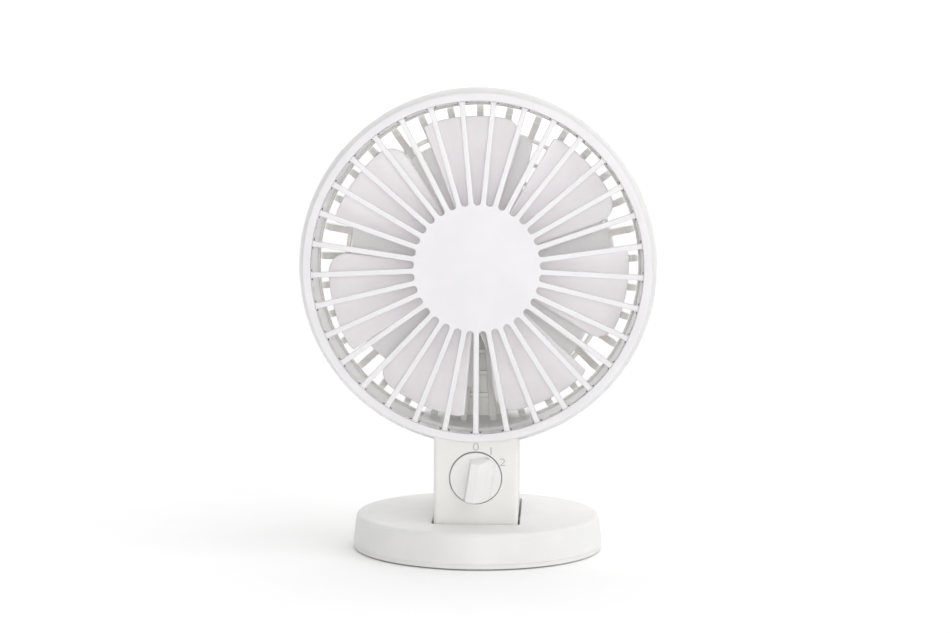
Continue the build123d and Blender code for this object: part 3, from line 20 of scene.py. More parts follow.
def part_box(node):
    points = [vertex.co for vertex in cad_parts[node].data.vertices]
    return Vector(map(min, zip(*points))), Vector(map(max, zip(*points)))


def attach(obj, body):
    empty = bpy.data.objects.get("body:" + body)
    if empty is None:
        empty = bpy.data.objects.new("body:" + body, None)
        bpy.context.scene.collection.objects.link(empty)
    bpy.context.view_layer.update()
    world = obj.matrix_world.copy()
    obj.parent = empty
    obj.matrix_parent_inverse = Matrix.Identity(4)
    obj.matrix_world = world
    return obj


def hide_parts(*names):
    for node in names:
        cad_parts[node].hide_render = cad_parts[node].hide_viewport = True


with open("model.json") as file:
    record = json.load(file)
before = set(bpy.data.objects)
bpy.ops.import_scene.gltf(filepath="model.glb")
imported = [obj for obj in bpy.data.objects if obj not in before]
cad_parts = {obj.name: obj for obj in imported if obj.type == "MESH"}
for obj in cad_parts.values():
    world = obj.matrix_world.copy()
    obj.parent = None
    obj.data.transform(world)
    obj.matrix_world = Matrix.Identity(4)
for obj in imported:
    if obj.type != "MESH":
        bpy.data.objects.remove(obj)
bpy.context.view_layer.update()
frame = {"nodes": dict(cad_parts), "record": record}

LOG = logging.getLogger("desk_fan")
MM = 0.001
FULL_TURN = 360.0
PAST = 1.0              # how far a cut runs past what it cuts, in millimetres
SAME = 1e-6             # places this close in metres count as one
NOISE_DARK, NOISE_LIGHT = 0.3, 0.7
RAMP_DARK, RAMP_LIGHT = 0.35, 0.65
COVER_SCREWS = ((0.0, 18.6), (105.0, 18.6), (255.0, 18.6), (180.0, 52.0))       # clock angle and radius
COVER_HEAD_RADIUS, COVER_HEAD_HIGH, COVER_SCREW_LONG = 2.0, 1.2, 9.0
LOW_HEAD_RADIUS, LOW_HEAD_HIGH = 1.9, 0.8
Point = tuple[float, float]
Shape = bpy.types.Object


class Body(Enum):
    """Bodies of the fan that a piece can ride on."""

    BASE = "base"
    HEAD = "head"
    KNOB = "speed_knob"
    FRONT_FAN = "front_fan"
    REAR_FAN = "rear_fan"


class Join(Enum):
    """Ways of putting two closed shapes together."""

    ADD = "UNION"
    CUT = "DIFFERENCE"
    KEEP = "INTERSECT"


def configure(thing: object, settings: dict[str, object]) -> None:
    """Set several properties of one thing."""
    for key, value in settings.items():
        setattr(thing, key, value)


def in_mm(box: Sequence[Vector]) -> list[Vector]:
    """Corners of a box of the frame in millimetres."""
    return [corner / MM for corner in box]


# ---------------------------------------------------------------- finishes
class NodeSheet:
    """Lays out the nodes of one tree."""

    def __init__(self, tree: bpy.types.NodeTree) -> None:
        """Start with coordinates.

        Args:
            tree: The tree that takes the nodes.
        """
        self.tree = tree
        self.place = self.add("ShaderNodeTexCoord")

    def add(self, kind: str, inputs: dict[str, object] | None = None, **settings: object) -> bpy.types.Node:
        """Add a node.

        Args:
            kind: Blender's type name of the node.
            inputs: Values of its inputs by name.
            **settings: Properties to set on it.

        Returns:
            The new node.
        """
        node = self.tree.nodes.new(kind)
        configure(node, settings)
        for name, value in (inputs or {}).items():
            node.inputs[name].default_value = value
        return node

    def link(self, source: bpy.types.Node, out: str, target: bpy.types.Node, into: str) -> None:
        """Link an output of one node to an input of another."""
        self.tree.links.new(source.outputs[out], target.inputs[into])

    def ramp(self, stops: Sequence[tuple[float, Sequence[float]]]) -> bpy.types.Node:
        """Colour ramp through tones at positions from 0 to 1."""
        ramp = self.add("ShaderNodeValToRGB")
        for position, _ in stops[1:-1]:
            ramp.color_ramp.elements.new(position)
        for element, (position, tone) in zip(ramp.color_ramp.elements, stops):
            element.position = position
            element.color = (*tone, 1.0)
        return ramp


class MaterialSheet(NodeSheet):
    """Lays out the nodes of one material."""

    def __init__(self, name: str) -> None:
        """Start an empty material.

        Args:
            name: Name of the material.
        """
        self.material = bpy.data.materials.new(name)
        self.material.use_nodes = True
        self.material.node_tree.nodes.clear()
        super().__init__(self.material.node_tree)
        self.shader = self.add("ShaderNodeBsdfPrincipled")
        self.link(self.shader, "BSDF", self.add("ShaderNodeOutputMaterial"), "Surface")

    def noise(self, grain_mm: float, detail: float, stretch: Vector | None = None) -> bpy.types.Node:
        """Noise on the piece's own coordinates.

        Args:
            grain_mm: Size of its grains.
            detail: Octaves of finer noise.
            stretch: Scale along each axis, for drawn or brushed marks.

        Returns:
            The noise node.
        """
        node = self.add("ShaderNodeTexNoise", {"Scale": 1 / (grain_mm * MM), "Detail": detail})
        source, out = self.place, "Object"
        if stretch is not None:
            mapping = self.add("ShaderNodeMapping", {"Scale": stretch})
            self.link(source, out, mapping, "Vector")
            source, out = mapping, "Vector"
        self.link(source, out, node, "Vector")
        return node

    def colours(self, source: bpy.types.Node, dark: Sequence[float], light: Sequence[float]) -> None:
        """Colour the shader between two tones, led by a noise."""
        ramp = self.ramp([(RAMP_DARK, dark), (RAMP_LIGHT, light)])
        self.link(source, "Fac", ramp, "Fac")
        self.link(ramp, "Color", self.shader, "Base Color")

    def roughness(self, source: bpy.types.Node, low: float, high: float) -> None:
        """Make the shader's roughness run from low to high over a noise's middle range."""
        spread = self.add("ShaderNodeMapRange", {"From Min": NOISE_DARK, "From Max": NOISE_LIGHT,
                                                 "To Min": low, "To Max": high})
        self.link(source, "Fac", spread, "Value")
        self.link(spread, "Result", self.shader, "Roughness")

    def relief(self, layers: Sequence[tuple[bpy.types.Node, str, float]]) -> None:
        """Chain bumps of several heights.

        Args:
            layers: Source node, its output and the relief's height in millimetres, coarsest first.
        """
        below = None
        for source, out, height in layers:
            bump = self.add("ShaderNodeBump", {"Distance": height * MM})
            self.link(source, out, bump, "Height")
            if below is not None:
                self.link(below, "Normal", bump, "Normal")
            below = bump
        self.link(below, "Normal", self.shader, "Normal")


def linear(tone: float) -> float:
    """Screen tone from 0 to 1 as linear light."""
    if tone <= 0.04045:
        return tone / 12.92
    return ((tone + 0.055) / 1.055) ** 2.4


def shade(colour: Sequence[float], by: float = 1.0) -> tuple[float, float, float]:
    """Screen colour as linear light, made lighter or darker by a factor."""
    return tuple(min(1.0, linear(c) * by) for c in colour)


@dataclass(frozen=True)
class Finish:
    """Recipe of one material; sizes in millimetres."""

    name: str
    colour: tuple[float, float, float]

    def make(self) -> bpy.types.Material:
        """Build the material.

        Returns:
            The finished material.
        """
        sheet = MaterialSheet(self.name)
        self.lay(sheet)
        return sheet.material

    def lay(self, sheet: MaterialSheet) -> None:
        """Lay out the finish's own nodes."""
        raise NotImplementedError


@dataclass(frozen=True)
class MouldedPlastic(Finish):
    """Satin moulded plastic with fine spark-eroded grain and slow flow marks."""

    roughness: float = 0.42
    grain: float = 0.16
    grain_height: float = 0.006
    flow: float = 14.0
    flow_height: float = 0.03
    mottle: float = 0.018
    glow: float = 0.0
    glow_depth: float = 3.0
    glow_spread: tuple[float, float, float] = (1.0, 0.97, 0.97)

    def lay(self, sheet: MaterialSheet) -> None:
        """Lay out the grain, the flow marks and the light that the wall lets through."""
        flow = sheet.noise(self.flow, 3.0)
        grain = sheet.noise(self.grain, 2.0)
        sheet.colours(flow, shade(self.colour, 1 - self.mottle), shade(self.colour, 1 + self.mottle))
        sheet.roughness(grain, self.roughness - 0.04, self.roughness + 0.05)
        sheet.relief([(flow, "Fac", self.flow_height), (grain, "Fac", self.grain_height)])
        if self.glow > 0:
            sheet.shader.inputs["Subsurface Weight"].default_value = self.glow
            sheet.shader.inputs["Subsurface Radius"].default_value = self.glow_spread
            sheet.shader.inputs["Subsurface Scale"].default_value = self.glow_depth * MM


@dataclass(frozen=True)
class BareMetal(Finish):
    """Worked metal with drawn or ground marks and slightly uneven tarnish."""

    roughness: float = 0.3
    marks: tuple[float, float, float] = (1.0, 0.06, 1.0)
    mark: float = 0.12
    mark_height: float = 0.004
    cloud: float = 5.0
    tarnish: float = 0.12

    def lay(self, sheet: MaterialSheet) -> None:
        """Lay out the marks and the tarnish."""
        sheet.shader.inputs["Metallic"].default_value = 1.0
        cloud = sheet.noise(self.cloud, 4.0)
        lines = sheet.noise(self.mark, 2.0, Vector(self.marks))
        sheet.colours(cloud, shade(self.colour, 1 - self.tarnish), shade(self.colour))
        sheet.roughness(lines, self.roughness - 0.07, self.roughness + 0.1)
        sheet.relief([(lines, "Fac", self.mark_height)])


@dataclass(frozen=True)
class SoftRubber(Finish):
    """Matt rubber with a fine pebbled skin and a little dust."""

    roughness: float = 0.78
    pebble: float = 0.25
    pebble_height: float = 0.02
    dust: float = 3.0

    def lay(self, sheet: MaterialSheet) -> None:
        """Lay out the pebbles and the dust."""
        scale = {"Scale": 1 / (self.pebble * MM)}
        pebble = sheet.add("ShaderNodeTexVoronoi", scale, feature="SMOOTH_F1")
        sheet.link(sheet.place, "Object", pebble, "Vector")
        dust = sheet.noise(self.dust, 5.0)
        sheet.colours(dust, shade(self.colour, 0.85), shade(self.colour, 1.5))
        sheet.roughness(dust, self.roughness - 0.08, self.roughness + 0.1)
        sheet.relief([(pebble, "Distance", self.pebble_height)])


@dataclass(frozen=True)
class BoardResist(Finish):
    """Circuit board with solder resist over faintly raised tracks."""

    track: float = 1.3
    track_height: float = 0.03
    weave: float = 0.3
    weave_height: float = 0.004

    def lay(self, sheet: MaterialSheet) -> None:
        """Lay out the tracks and the weave below them."""
        tones = {"Color1": 1.0, "Color2": 0.85, "Mortar": 1.6}
        inputs = {name: (*shade(self.colour, by), 1.0) for name, by in tones.items()}
        inputs |= {"Scale": 1 / (self.track * 4 * MM), "Mortar Size": 0.04}
        tracks = sheet.add("ShaderNodeTexBrick", inputs, offset=0.3, squash=1.0)
        sheet.link(sheet.place, "Object", tracks, "Vector")
        sheet.link(tracks, "Color", sheet.shader, "Base Color")
        weave = sheet.noise(self.weave, 2.0)
        sheet.roughness(weave, 0.25, 0.36)
        sheet.relief([(tracks, "Fac", self.track_height), (weave, "Fac", self.weave_height)])


@dataclass(frozen=True)
class WoundWire(Finish):
    """Enamelled copper wire wound side by side."""

    wire: float = 0.28
    wire_height: float = 0.06
    varnish: float = 1.5

    def lay(self, sheet: MaterialSheet) -> None:
        """Lay out the turns and their varnish."""
        sheet.shader.inputs["Metallic"].default_value = 1.0
        inputs = {"Scale": math.pi / (10 * self.wire * MM), "Distortion": 0.6}
        turns = sheet.add("ShaderNodeTexWave", inputs, wave_type="BANDS", bands_direction="Y",
                          wave_profile="SIN")
        sheet.link(sheet.place, "Object", turns, "Vector")
        varnish = sheet.noise(self.varnish, 3.0)
        sheet.colours(varnish, shade(self.colour, 0.75), shade(self.colour, 1.1))
        sheet.roughness(varnish, 0.2, 0.34)
        sheet.relief([(turns, "Fac", self.wire_height)])


class FinishBook:
    """Finishes of the record's material slots and a few of their own, each made once."""

    RECIPES: tuple[Finish, ...] = (
        MouldedPlastic("shell_white", (0.912, 0.908, 0.897), glow=0.2, glow_depth=1.5),
        # shell plastic in a lighter colour: painted light for the shaded inside of the drum, helped by deep
        # subsurface
        MouldedPlastic("drum_white_painted_light", (0.945, 0.940, 0.930), glow=0.9, glow_depth=9.0),
        # shell plastic in a lighter colour: painted light for the shaded ribs, pod and spine inside the head
        MouldedPlastic("guard_white_painted_light", (0.950, 0.946, 0.935), glow=0.3, glow_depth=2.0),
        MouldedPlastic("grille_white", (0.892, 0.886, 0.892), roughness=0.4, glow=0.3),
        MouldedPlastic("base_white", (0.895, 0.893, 0.886), roughness=0.44),
        MouldedPlastic("knob_white", (0.905, 0.900, 0.894), roughness=0.38, grain=0.12),
        MouldedPlastic("blade_white", (0.972, 0.954, 0.962), roughness=0.36, glow=0.4, glow_depth=2.0),
        # blade plastic in a lighter colour with more subsurface: painted light for the shaded rear blades
        MouldedPlastic("rear_blade_painted_light", (0.985, 0.966, 0.976), roughness=0.36, glow=0.75, glow_depth=5.0),
        SoftRubber("foot_rubber", (0.16, 0.16, 0.16)),
        BareMetal("weight_steel", (0.42, 0.42, 0.43), 0.5, tarnish=0.3),
        BareMetal("bracket_steel", (0.74, 0.74, 0.75), 0.34),
        BareMetal("screw_steel", (0.76, 0.76, 0.76), 0.3, (1.0, 1.0, 1.0)),
        BareMetal("pin_steel", (0.80, 0.80, 0.81), 0.22, (0.05, 1.0, 1.0)),
        BareMetal("clip_steel", (0.45, 0.45, 0.47), 0.38),
        MouldedPlastic("washer_plastic", (0.86, 0.86, 0.84), 0.3),
        BareMetal("socket_metal", (0.80, 0.80, 0.81), 0.24),
        MouldedPlastic("socket_insert", (0.10, 0.10, 0.10), 0.5),
        BoardResist("board_green", (0.10, 0.36, 0.20)),
        MouldedPlastic("switch_black", (0.12, 0.12, 0.12), 0.45),
        MouldedPlastic("shaft_plastic", (0.88, 0.88, 0.86), 0.4),
        BareMetal("can_steel", (0.74, 0.74, 0.75), 0.26),
        MouldedPlastic("cap_plastic", (0.88, 0.88, 0.85), 0.45),
        BareMetal("bush_brass", (0.74, 0.58, 0.36), 0.4),
        BareMetal("contact_copper", (0.78, 0.50, 0.34), 0.28),
        BareMetal("magnet_dark", (0.26, 0.26, 0.27), 0.55, (1.0, 1.0, 1.0)),
        BareMetal("core_steel", (0.50, 0.50, 0.51), 0.42, (0.05, 1.0, 0.05)),
        WoundWire("coil_copper", (0.72, 0.40, 0.22)),
        MouldedPlastic("gear_plastic", (0.90, 0.885, 0.83), 0.34),
        BareMetal("pinion_brass", (0.80, 0.66, 0.36), 0.25),
        MouldedPlastic("lead_red", (0.66, 0.10, 0.09), 0.36),
        MouldedPlastic("dial_ink", (0.71, 0.71, 0.71), 0.5, mottle=0.01),
    )

    def __init__(self) -> None:
        """Start with no finish made."""
        self.recipes = {recipe.name: recipe for recipe in self.RECIPES}
        self.made: dict[str, bpy.types.Material] = {}

    def get(self, slot: str) -> bpy.types.Material:
        """Finish of a slot, made at its first use."""
        if slot not in self.made:
            self.made[slot] = self.recipes[slot].make()
        return self.made[slot]

    def dress_frame(self) -> None:
        """Give every node of the frame the finish of its own slot."""
        for row in frame["record"]["subparts"]:
            node = frame["nodes"][row["node"]]
            material = self.get(row["material_slot"])
            for place in node.material_slots:
                place.material = material
            LOG.info("dressed %s with %s", row["node"], material.name)


# ---------------------------------------------------------------- outlines
def arc(centre: Point, radius: float, start: float, end: float, steps: int) -> list[Point]:
    """Points along an arc.

    Args:
        centre: Middle of the arc.
        radius: Its radius.
        start: First angle in degrees, from the first coordinate towards the second.
        end: Last angle in degrees.
        steps: Number of equal steps.

    Returns:
        The points, both ends included.
    """
    angles = [math.radians(start + (end - start) * k / steps) for k in range(steps + 1)]
    return [(centre[0] + radius * math.cos(a), centre[1] + radius * math.sin(a)) for a in angles]


def rounded(corners: Sequence[Point], radii: Sequence[float], steps: int = 5) -> list[Point]:
    """Closed outline with its corners rounded.

    Args:
        corners: Corner points in order.
        radii: Rounding of each corner, 0 for a sharp one.
        steps: Steps in each rounding.

    Returns:
        Points of the rounded outline.
    """
    outline: list[Point] = []
    count = len(corners)
    for k, (corner, radius) in enumerate(zip(corners, radii)):
        if radius <= 0:
            outline.append(corner)
            continue
        here = Vector(corner)
        back = (Vector(corners[k - 1]) - here).normalized()
        ahead = (Vector(corners[(k + 1) % count]) - here).normalized()
        half = back.angle(ahead) / 2
        middle = here + (back + ahead).normalized() * (radius / math.sin(half))
        first = here + back * (radius / math.tan(half)) - middle
        last = here + ahead * (radius / math.tan(half)) - middle
        turn = first.angle_signed(last)
        for step in range(steps + 1):
            spoke = first.copy()
            spoke.rotate(Matrix.Rotation(-turn * step / steps, 2))
            outline.append(tuple(middle + spoke))
    return outline


def circle_through(a: Point, b: Point, c: Point) -> tuple[Point, float]:
    """Centre and radius of the circle through three points."""
    d = 2 * (a[0] * (b[1] - c[1]) + b[0] * (c[1] - a[1]) + c[0] * (a[1] - b[1]))
    sq = [p[0] ** 2 + p[1] ** 2 for p in (a, b, c)]
    x = (sq[0] * (b[1] - c[1]) + sq[1] * (c[1] - a[1]) + sq[2] * (a[1] - b[1])) / d
    y = (sq[0] * (c[0] - b[0]) + sq[1] * (a[0] - c[0]) + sq[2] * (b[0] - a[0])) / d
    return (x, y), math.hypot(a[0] - x, a[1] - y)


def bearing(centre: Point, point: Point) -> float:
    """Direction from a centre to a point in degrees."""
    return math.degrees(math.atan2(point[1] - centre[1], point[0] - centre[0]))


# ---------------------------------------------------------------- places
@dataclass(frozen=True)
class HeadPlace:
    """The head's own frame: depth runs back from the ring's face, all in millimetres."""

    front_y: float
    axis_z: float

    @classmethod
    def from_frame(cls) -> "HeadPlace":
        """Read the head's place from the front grille's box."""
        low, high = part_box("front_grille")
        return cls(low.y / MM, (low.z + high.z) / 2 / MM)

    def at(self, radius: float, clock: float, depth: float) -> Vector:
        """Point in metres.

        Args:
            radius: Distance from the head's axis.
            clock: Angle in degrees, clockwise from twelve o'clock seen from the front.
            depth: Distance behind the ring's face.

        Returns:
            The point.
        """
        a = math.radians(clock)
        return self.point(radius * math.sin(a), depth, radius * math.cos(a))

    def point(self, across: float, depth: float, up: float) -> Vector:
        """Point in metres from distances to the right of, behind and above the axis at the ring's face."""
        return Vector((across, self.front_y + depth, self.axis_z + up)) * MM

    def turn(self, clock: float) -> Matrix:
        """Matrix that turns a mesh clockwise about the head's axis."""
        middle = Matrix.Translation(self.at(0, 0, 0))
        return middle @ Matrix.Rotation(math.radians(clock), 4, "Y") @ middle.inverted()


# ---------------------------------------------------------------- workbench
class Workbench:
    """Modelling moves that the sub-assemblies share."""

    def __init__(self, finishes: FinishBook) -> None:
        """Keep the finishes.

        Args:
            finishes: Where each piece's material comes from.
        """
        self.finishes = finishes

    def start(self, primitive: Callable[..., set], **settings: object) -> Shape:
        """Add a primitive with nothing else selected.

        Args:
            primitive: The operator that adds it.
            **settings: The operator's settings, in metres.

        Returns:
            The new object, its place moved into its mesh.
        """
        bpy.ops.object.select_all(action="DESELECT")
        primitive(**settings)
        bpy.ops.object.transform_apply(location=True, rotation=True, scale=True)
        return bpy.context.view_layer.objects.active

    def only(self, piece: Shape) -> None:
        """Select one piece and make it active."""
        bpy.ops.object.select_all(action="DESELECT")
        piece.select_set(True)
        bpy.context.view_layer.objects.active = piece

    @contextmanager
    def editing(self, piece: Shape) -> Iterator[None]:
        """Edit mode on one piece, with nothing selected at first."""
        self.only(piece)
        bpy.ops.object.mode_set(mode="EDIT")
        bpy.ops.mesh.select_mode(type="VERT")
        bpy.ops.mesh.select_all(action="DESELECT")
        yield
        bpy.ops.object.mode_set(mode="OBJECT")

    def pick_edges(self, piece: Shape, rule: Callable[[Vector, Vector], bool]) -> None:
        """Select the edges in edit mode whose two ends meet a rule."""
        bpy.ops.mesh.select_mode(type="EDGE")
        mesh = bmesh.from_edit_mesh(piece.data)
        for edge in mesh.edges:
            edge.select_set(rule(edge.verts[0].co, edge.verts[1].co))
        mesh.select_flush_mode()
        bmesh.update_edit_mesh(piece.data)

    def loop(self, points: Sequence[Vector], fill: str) -> Shape:
        """Closed outline through points in metres, filled or not as Blender's circle names it."""
        outline = self.start(bpy.ops.mesh.primitive_circle_add, vertices=len(points), fill_type=fill)
        for vertex, point in zip(outline.data.vertices, points):
            vertex.co = point
        return outline

    def prism(self, points: Sequence[Vector], push: Vector) -> Shape:
        """Closed solid from a flat outline.

        Args:
            points: The outline, in metres.
            push: How far the outline is extruded.

        Returns:
            The solid.
        """
        solid = self.loop(points, "NGON")
        with self.editing(solid):
            bpy.ops.mesh.select_all(action="SELECT")
            bpy.ops.mesh.extrude_region_move(TRANSFORM_OT_translate={"value": push})
        self.face_outward(solid)
        return solid

    def face_outward(self, piece: Shape, merge: float = 0.0) -> None:
        """Turn every face outward.

        Args:
            piece: The piece.
            merge: Points closer than this in metres are merged first.
        """
        with self.editing(piece):
            bpy.ops.mesh.select_all(action="SELECT")
            if merge > 0:
                bpy.ops.mesh.remove_doubles(threshold=merge)
            bpy.ops.mesh.normals_make_consistent(inside=False)

    def box(self, low: Vector, high: Vector) -> Shape:
        """Plain block between two corners in metres, for cutting and building up."""
        middle = (low + high) / 2
        return self.start(bpy.ops.mesh.primitive_cube_add, size=1.0, location=middle, scale=high - low)

    def turned(self, outline: Sequence[Point], place: HeadPlace, steps: int, on_axis: bool = False) -> Shape:
        """Outline spun once round the head's axis.

        Args:
            outline: Points as (radius, depth) in millimetres.
            place: The head's frame.
            steps: Steps in the full turn.
            on_axis: Whether the outline starts and ends on the axis.

        Returns:
            The closed solid.
        """
        points = [place.at(radius, 0, depth) for radius, depth in outline]
        return self.spun(points, place.at(0, 0, 0), Vector((0, 1, 0)), steps, on_axis)

    def spun(self, points: Sequence[Vector], centre: Vector, axis: Vector, steps: int,
             on_axis: bool = True) -> Shape:
        """Outline of points spun once round any axis.

        Args:
            points: The outline in metres.
            centre: A point of the axis.
            axis: Direction of the axis.
            steps: Steps in the full turn.
            on_axis: Whether the outline starts and ends on the axis.

        Returns:
            The closed solid.
        """
        solid = self.loop(points, "NOTHING")
        ends = (points[0], points[-1])
        with self.editing(solid):
            if on_axis:
                self.pick_edges(solid, lambda a, b: all(min((a - end).length, (b - end).length) < SAME
                                                        for end in ends))
                bpy.ops.mesh.delete(type="EDGE")
                bpy.ops.mesh.select_mode(type="VERT")
            bpy.ops.mesh.select_all(action="SELECT")
            bpy.ops.mesh.spin(steps=steps, angle=math.tau, use_auto_merge=True, center=centre, axis=axis)
        self.face_outward(solid, SAME)
        return solid

    def rod(self, radius: float, place: HeadPlace, near: float, far: float, clock: float = 0.0,
            out: float = 0.0, steps: int = 48) -> Shape:
        """Cylinder along the head's axis.

        Args:
            radius: Its radius in millimetres.
            place: The head's frame.
            near: Depth of its front end.
            far: Depth of its back end.
            clock: Clock angle of its middle.
            out: Distance of its middle from the axis.
            steps: Sides of the cylinder.

        Returns:
            The cylinder.
        """
        middle = place.at(out, clock, (near + far) / 2)
        return self.start(bpy.ops.mesh.primitive_cylinder_add, vertices=steps, radius=radius * MM,
                          depth=(far - near) * MM, location=middle, rotation=(math.pi / 2, 0, 0))

    def modify(self, piece: Shape, kind: str, **settings: object) -> None:
        """Add a modifier and apply it at once.

        Args:
            piece: The piece.
            kind: The modifier's type.
            **settings: Its settings.
        """
        self.only(piece)
        modifier = piece.modifiers.new(kind.lower(), kind)
        configure(modifier, settings)
        bpy.ops.object.modifier_apply(modifier=modifier.name)

    def combine(self, piece: Shape, other: Shape, how: Join) -> None:
        """Put two closed shapes together and drop the second.

        Args:
            piece: The shape that is kept.
            other: The shape that is used up.
            how: Whether it is added, cut away or kept in common.
        """
        self.modify(piece, "BOOLEAN", object=other, operation=how.value, solver="MANIFOLD")
        bpy.data.objects.remove(other)

    def round_edges(self, piece: Shape, radius: float, steps: int = 3, over: float = 35.0) -> None:
        """Round every edge sharper than an angle.

        Args:
            piece: The piece.
            radius: Width of the rounding in millimetres.
            steps: Steps across the rounding.
            over: Smallest angle between faces that counts as an edge.
        """
        self.modify(piece, "BEVEL", width=radius * MM, segments=steps, limit_method="ANGLE",
                    angle_limit=math.radians(over), use_clamp_overlap=False, harden_normals=False)
        with self.editing(piece):
            bpy.ops.mesh.select_all(action="SELECT")
            bpy.ops.mesh.remove_doubles(threshold=2 * SAME)

    def copies_round(self, piece: Shape, place: HeadPlace, count: int, first: float = 0.0,
                     steps_on: float = 0.0) -> Shape:
        """Copy a piece in equal steps round the head's axis and join the copies.

        Args:
            piece: The piece as modelled, which is used up.
            place: The head's frame.
            count: How many copies there are.
            first: Clock angle of the first copy from where the piece was modelled.
            steps_on: Share of a step that every copy is moved on by.

        Returns:
            All copies as one object.
        """
        copies = []
        for k in range(count):
            copy = piece.copy()
            copy.data = piece.data.copy()
            copy.data.transform(place.turn(FULL_TURN / count * (k + steps_on) + first))
            bpy.context.scene.collection.objects.link(copy)
            copies.append(copy)
        bpy.data.objects.remove(piece)
        return self.join(copies)

    def join(self, pieces: Sequence[Shape]) -> Shape:
        """Join separate shapes into one object."""
        bpy.ops.object.select_all(action="DESELECT")
        for piece in pieces:
            piece.select_set(True)
        bpy.context.view_layer.objects.active = pieces[0]
        bpy.ops.object.join()
        return pieces[0]

    def finish(self, piece: Shape, name: str, body: Body, slot: str, stands_for: Sequence[str] = (),
               smooth: float = 32.0, ink: str | None = None) -> Shape:
        """Name, shade, dress and register a finished piece.

        Args:
            piece: The piece.
            name: Its name.
            body: Body that it rides on.
            slot: Material slot of the record.
            stands_for: Nodes of the frame that it replaces.
            smooth: Largest angle in degrees that is shaded smooth.
            ink: Finish other than the slot's own, if any.

        Returns:
            The same piece.
        """
        piece.name = name
        piece.data.name = name
        self.only(piece)
        bpy.ops.object.shade_smooth_by_angle(angle=math.radians(smooth))
        self.modify(piece, "WEIGHTED_NORMAL", keep_sharp=True, weight=80)
        piece.data.materials.clear()
        piece.data.materials.append(self.finishes.get(ink or slot))
        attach(piece, body.value)
        if stands_for:
            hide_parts(*stands_for)
        LOG.info("%s: %d faces on %s", name, len(piece.data.polygons), body.value)
        return piece


# ---------------------------------------------------------------- head casing
@dataclass
class FrontGuard:
    """Ring, radial spokes and plain centre disc in one moulding; sizes in millimetres."""

    bench: Workbench
    place: HeadPlace
    spokes: int = 33
    spoke_width: float = 2.3
    plate_front: float = 0.4
    plate_back: float = 3.0
    ring_radius: float = 73.1
    ring_inner: float = 69.3
    ring_back: float = 3.0
    ring_edge: float = 1.0
    step_out: float = 0.05
    steps_each: int = 6
    disc_radius: float = 26.4
    slot_end: float = 1.35
    slot_tip: float = 0.8
    lip_radius: float = 70.15
    lip_back: float = 7.0
    soft_edge: float = 0.35

    def body(self) -> Shape:
        """Turned blank without its slots."""
        step_radius = self.ring_inner + self.step_out
        corners = [(0.0, self.plate_front), (step_radius, self.plate_front), (step_radius, 0.0),
                   (self.ring_radius, 0.0), (self.ring_radius, self.ring_back),
                   (self.lip_radius, self.ring_back), (self.lip_radius, self.lip_back),
                   (self.ring_inner, self.lip_back), (self.ring_inner, self.plate_back),
                   (0.0, self.plate_back)]
        radii = [0.0, 0.1, 0.35, self.ring_edge, 0.25, 0.0, 0.3, 0.0, 0.0, 0.0]
        steps = self.steps_each * self.spokes
        return self.bench.turned(rounded(corners, radii, 4), self.place, steps, on_axis=True)

    def slot_outline(self) -> list[Point]:
        """Outline of the slot at twelve o'clock, as (sideways, outward)."""
        half = math.pi / self.spokes
        w = self.spoke_width / 2

        def corner(radius: float, side: int) -> Point:
            along = math.sqrt(radius ** 2 - w ** 2)
            return (side * (along * math.sin(half) - w * math.cos(half)),
                    along * math.cos(half) + w * math.sin(half))

        tip = [corner(self.ring_inner, -1), (0.0, self.ring_inner), corner(self.ring_inner, 1)]
        corners = [corner(self.disc_radius, -1), *tip, corner(self.disc_radius, 1)]
        return rounded(corners, [self.slot_end, self.slot_tip, 0.0, self.slot_tip, self.slot_end], 5)

    def build(self) -> Shape:
        """Cut the slots, soften the spokes and finish the guard."""
        depth = self.plate_back - self.plate_front + 2 * PAST
        axis = self.place.point(0, self.plate_front - PAST, 0)
        outline = [axis + Vector((x, 0, up)) * MM for x, up in self.slot_outline()]
        slot = self.bench.prism(outline, Vector((0, depth * MM, 0)))
        slots = self.bench.copies_round(slot, self.place, self.spokes, FULL_TURN / 2, 0.5)
        guard = self.body()
        self.bench.combine(guard, slots, Join.CUT)
        self.bench.round_edges(guard, self.soft_edge, 3, 50.0)
        return self.bench.finish(guard, "guard_ring_and_spokes", Body.HEAD, "grille_white", ["front_grille"])


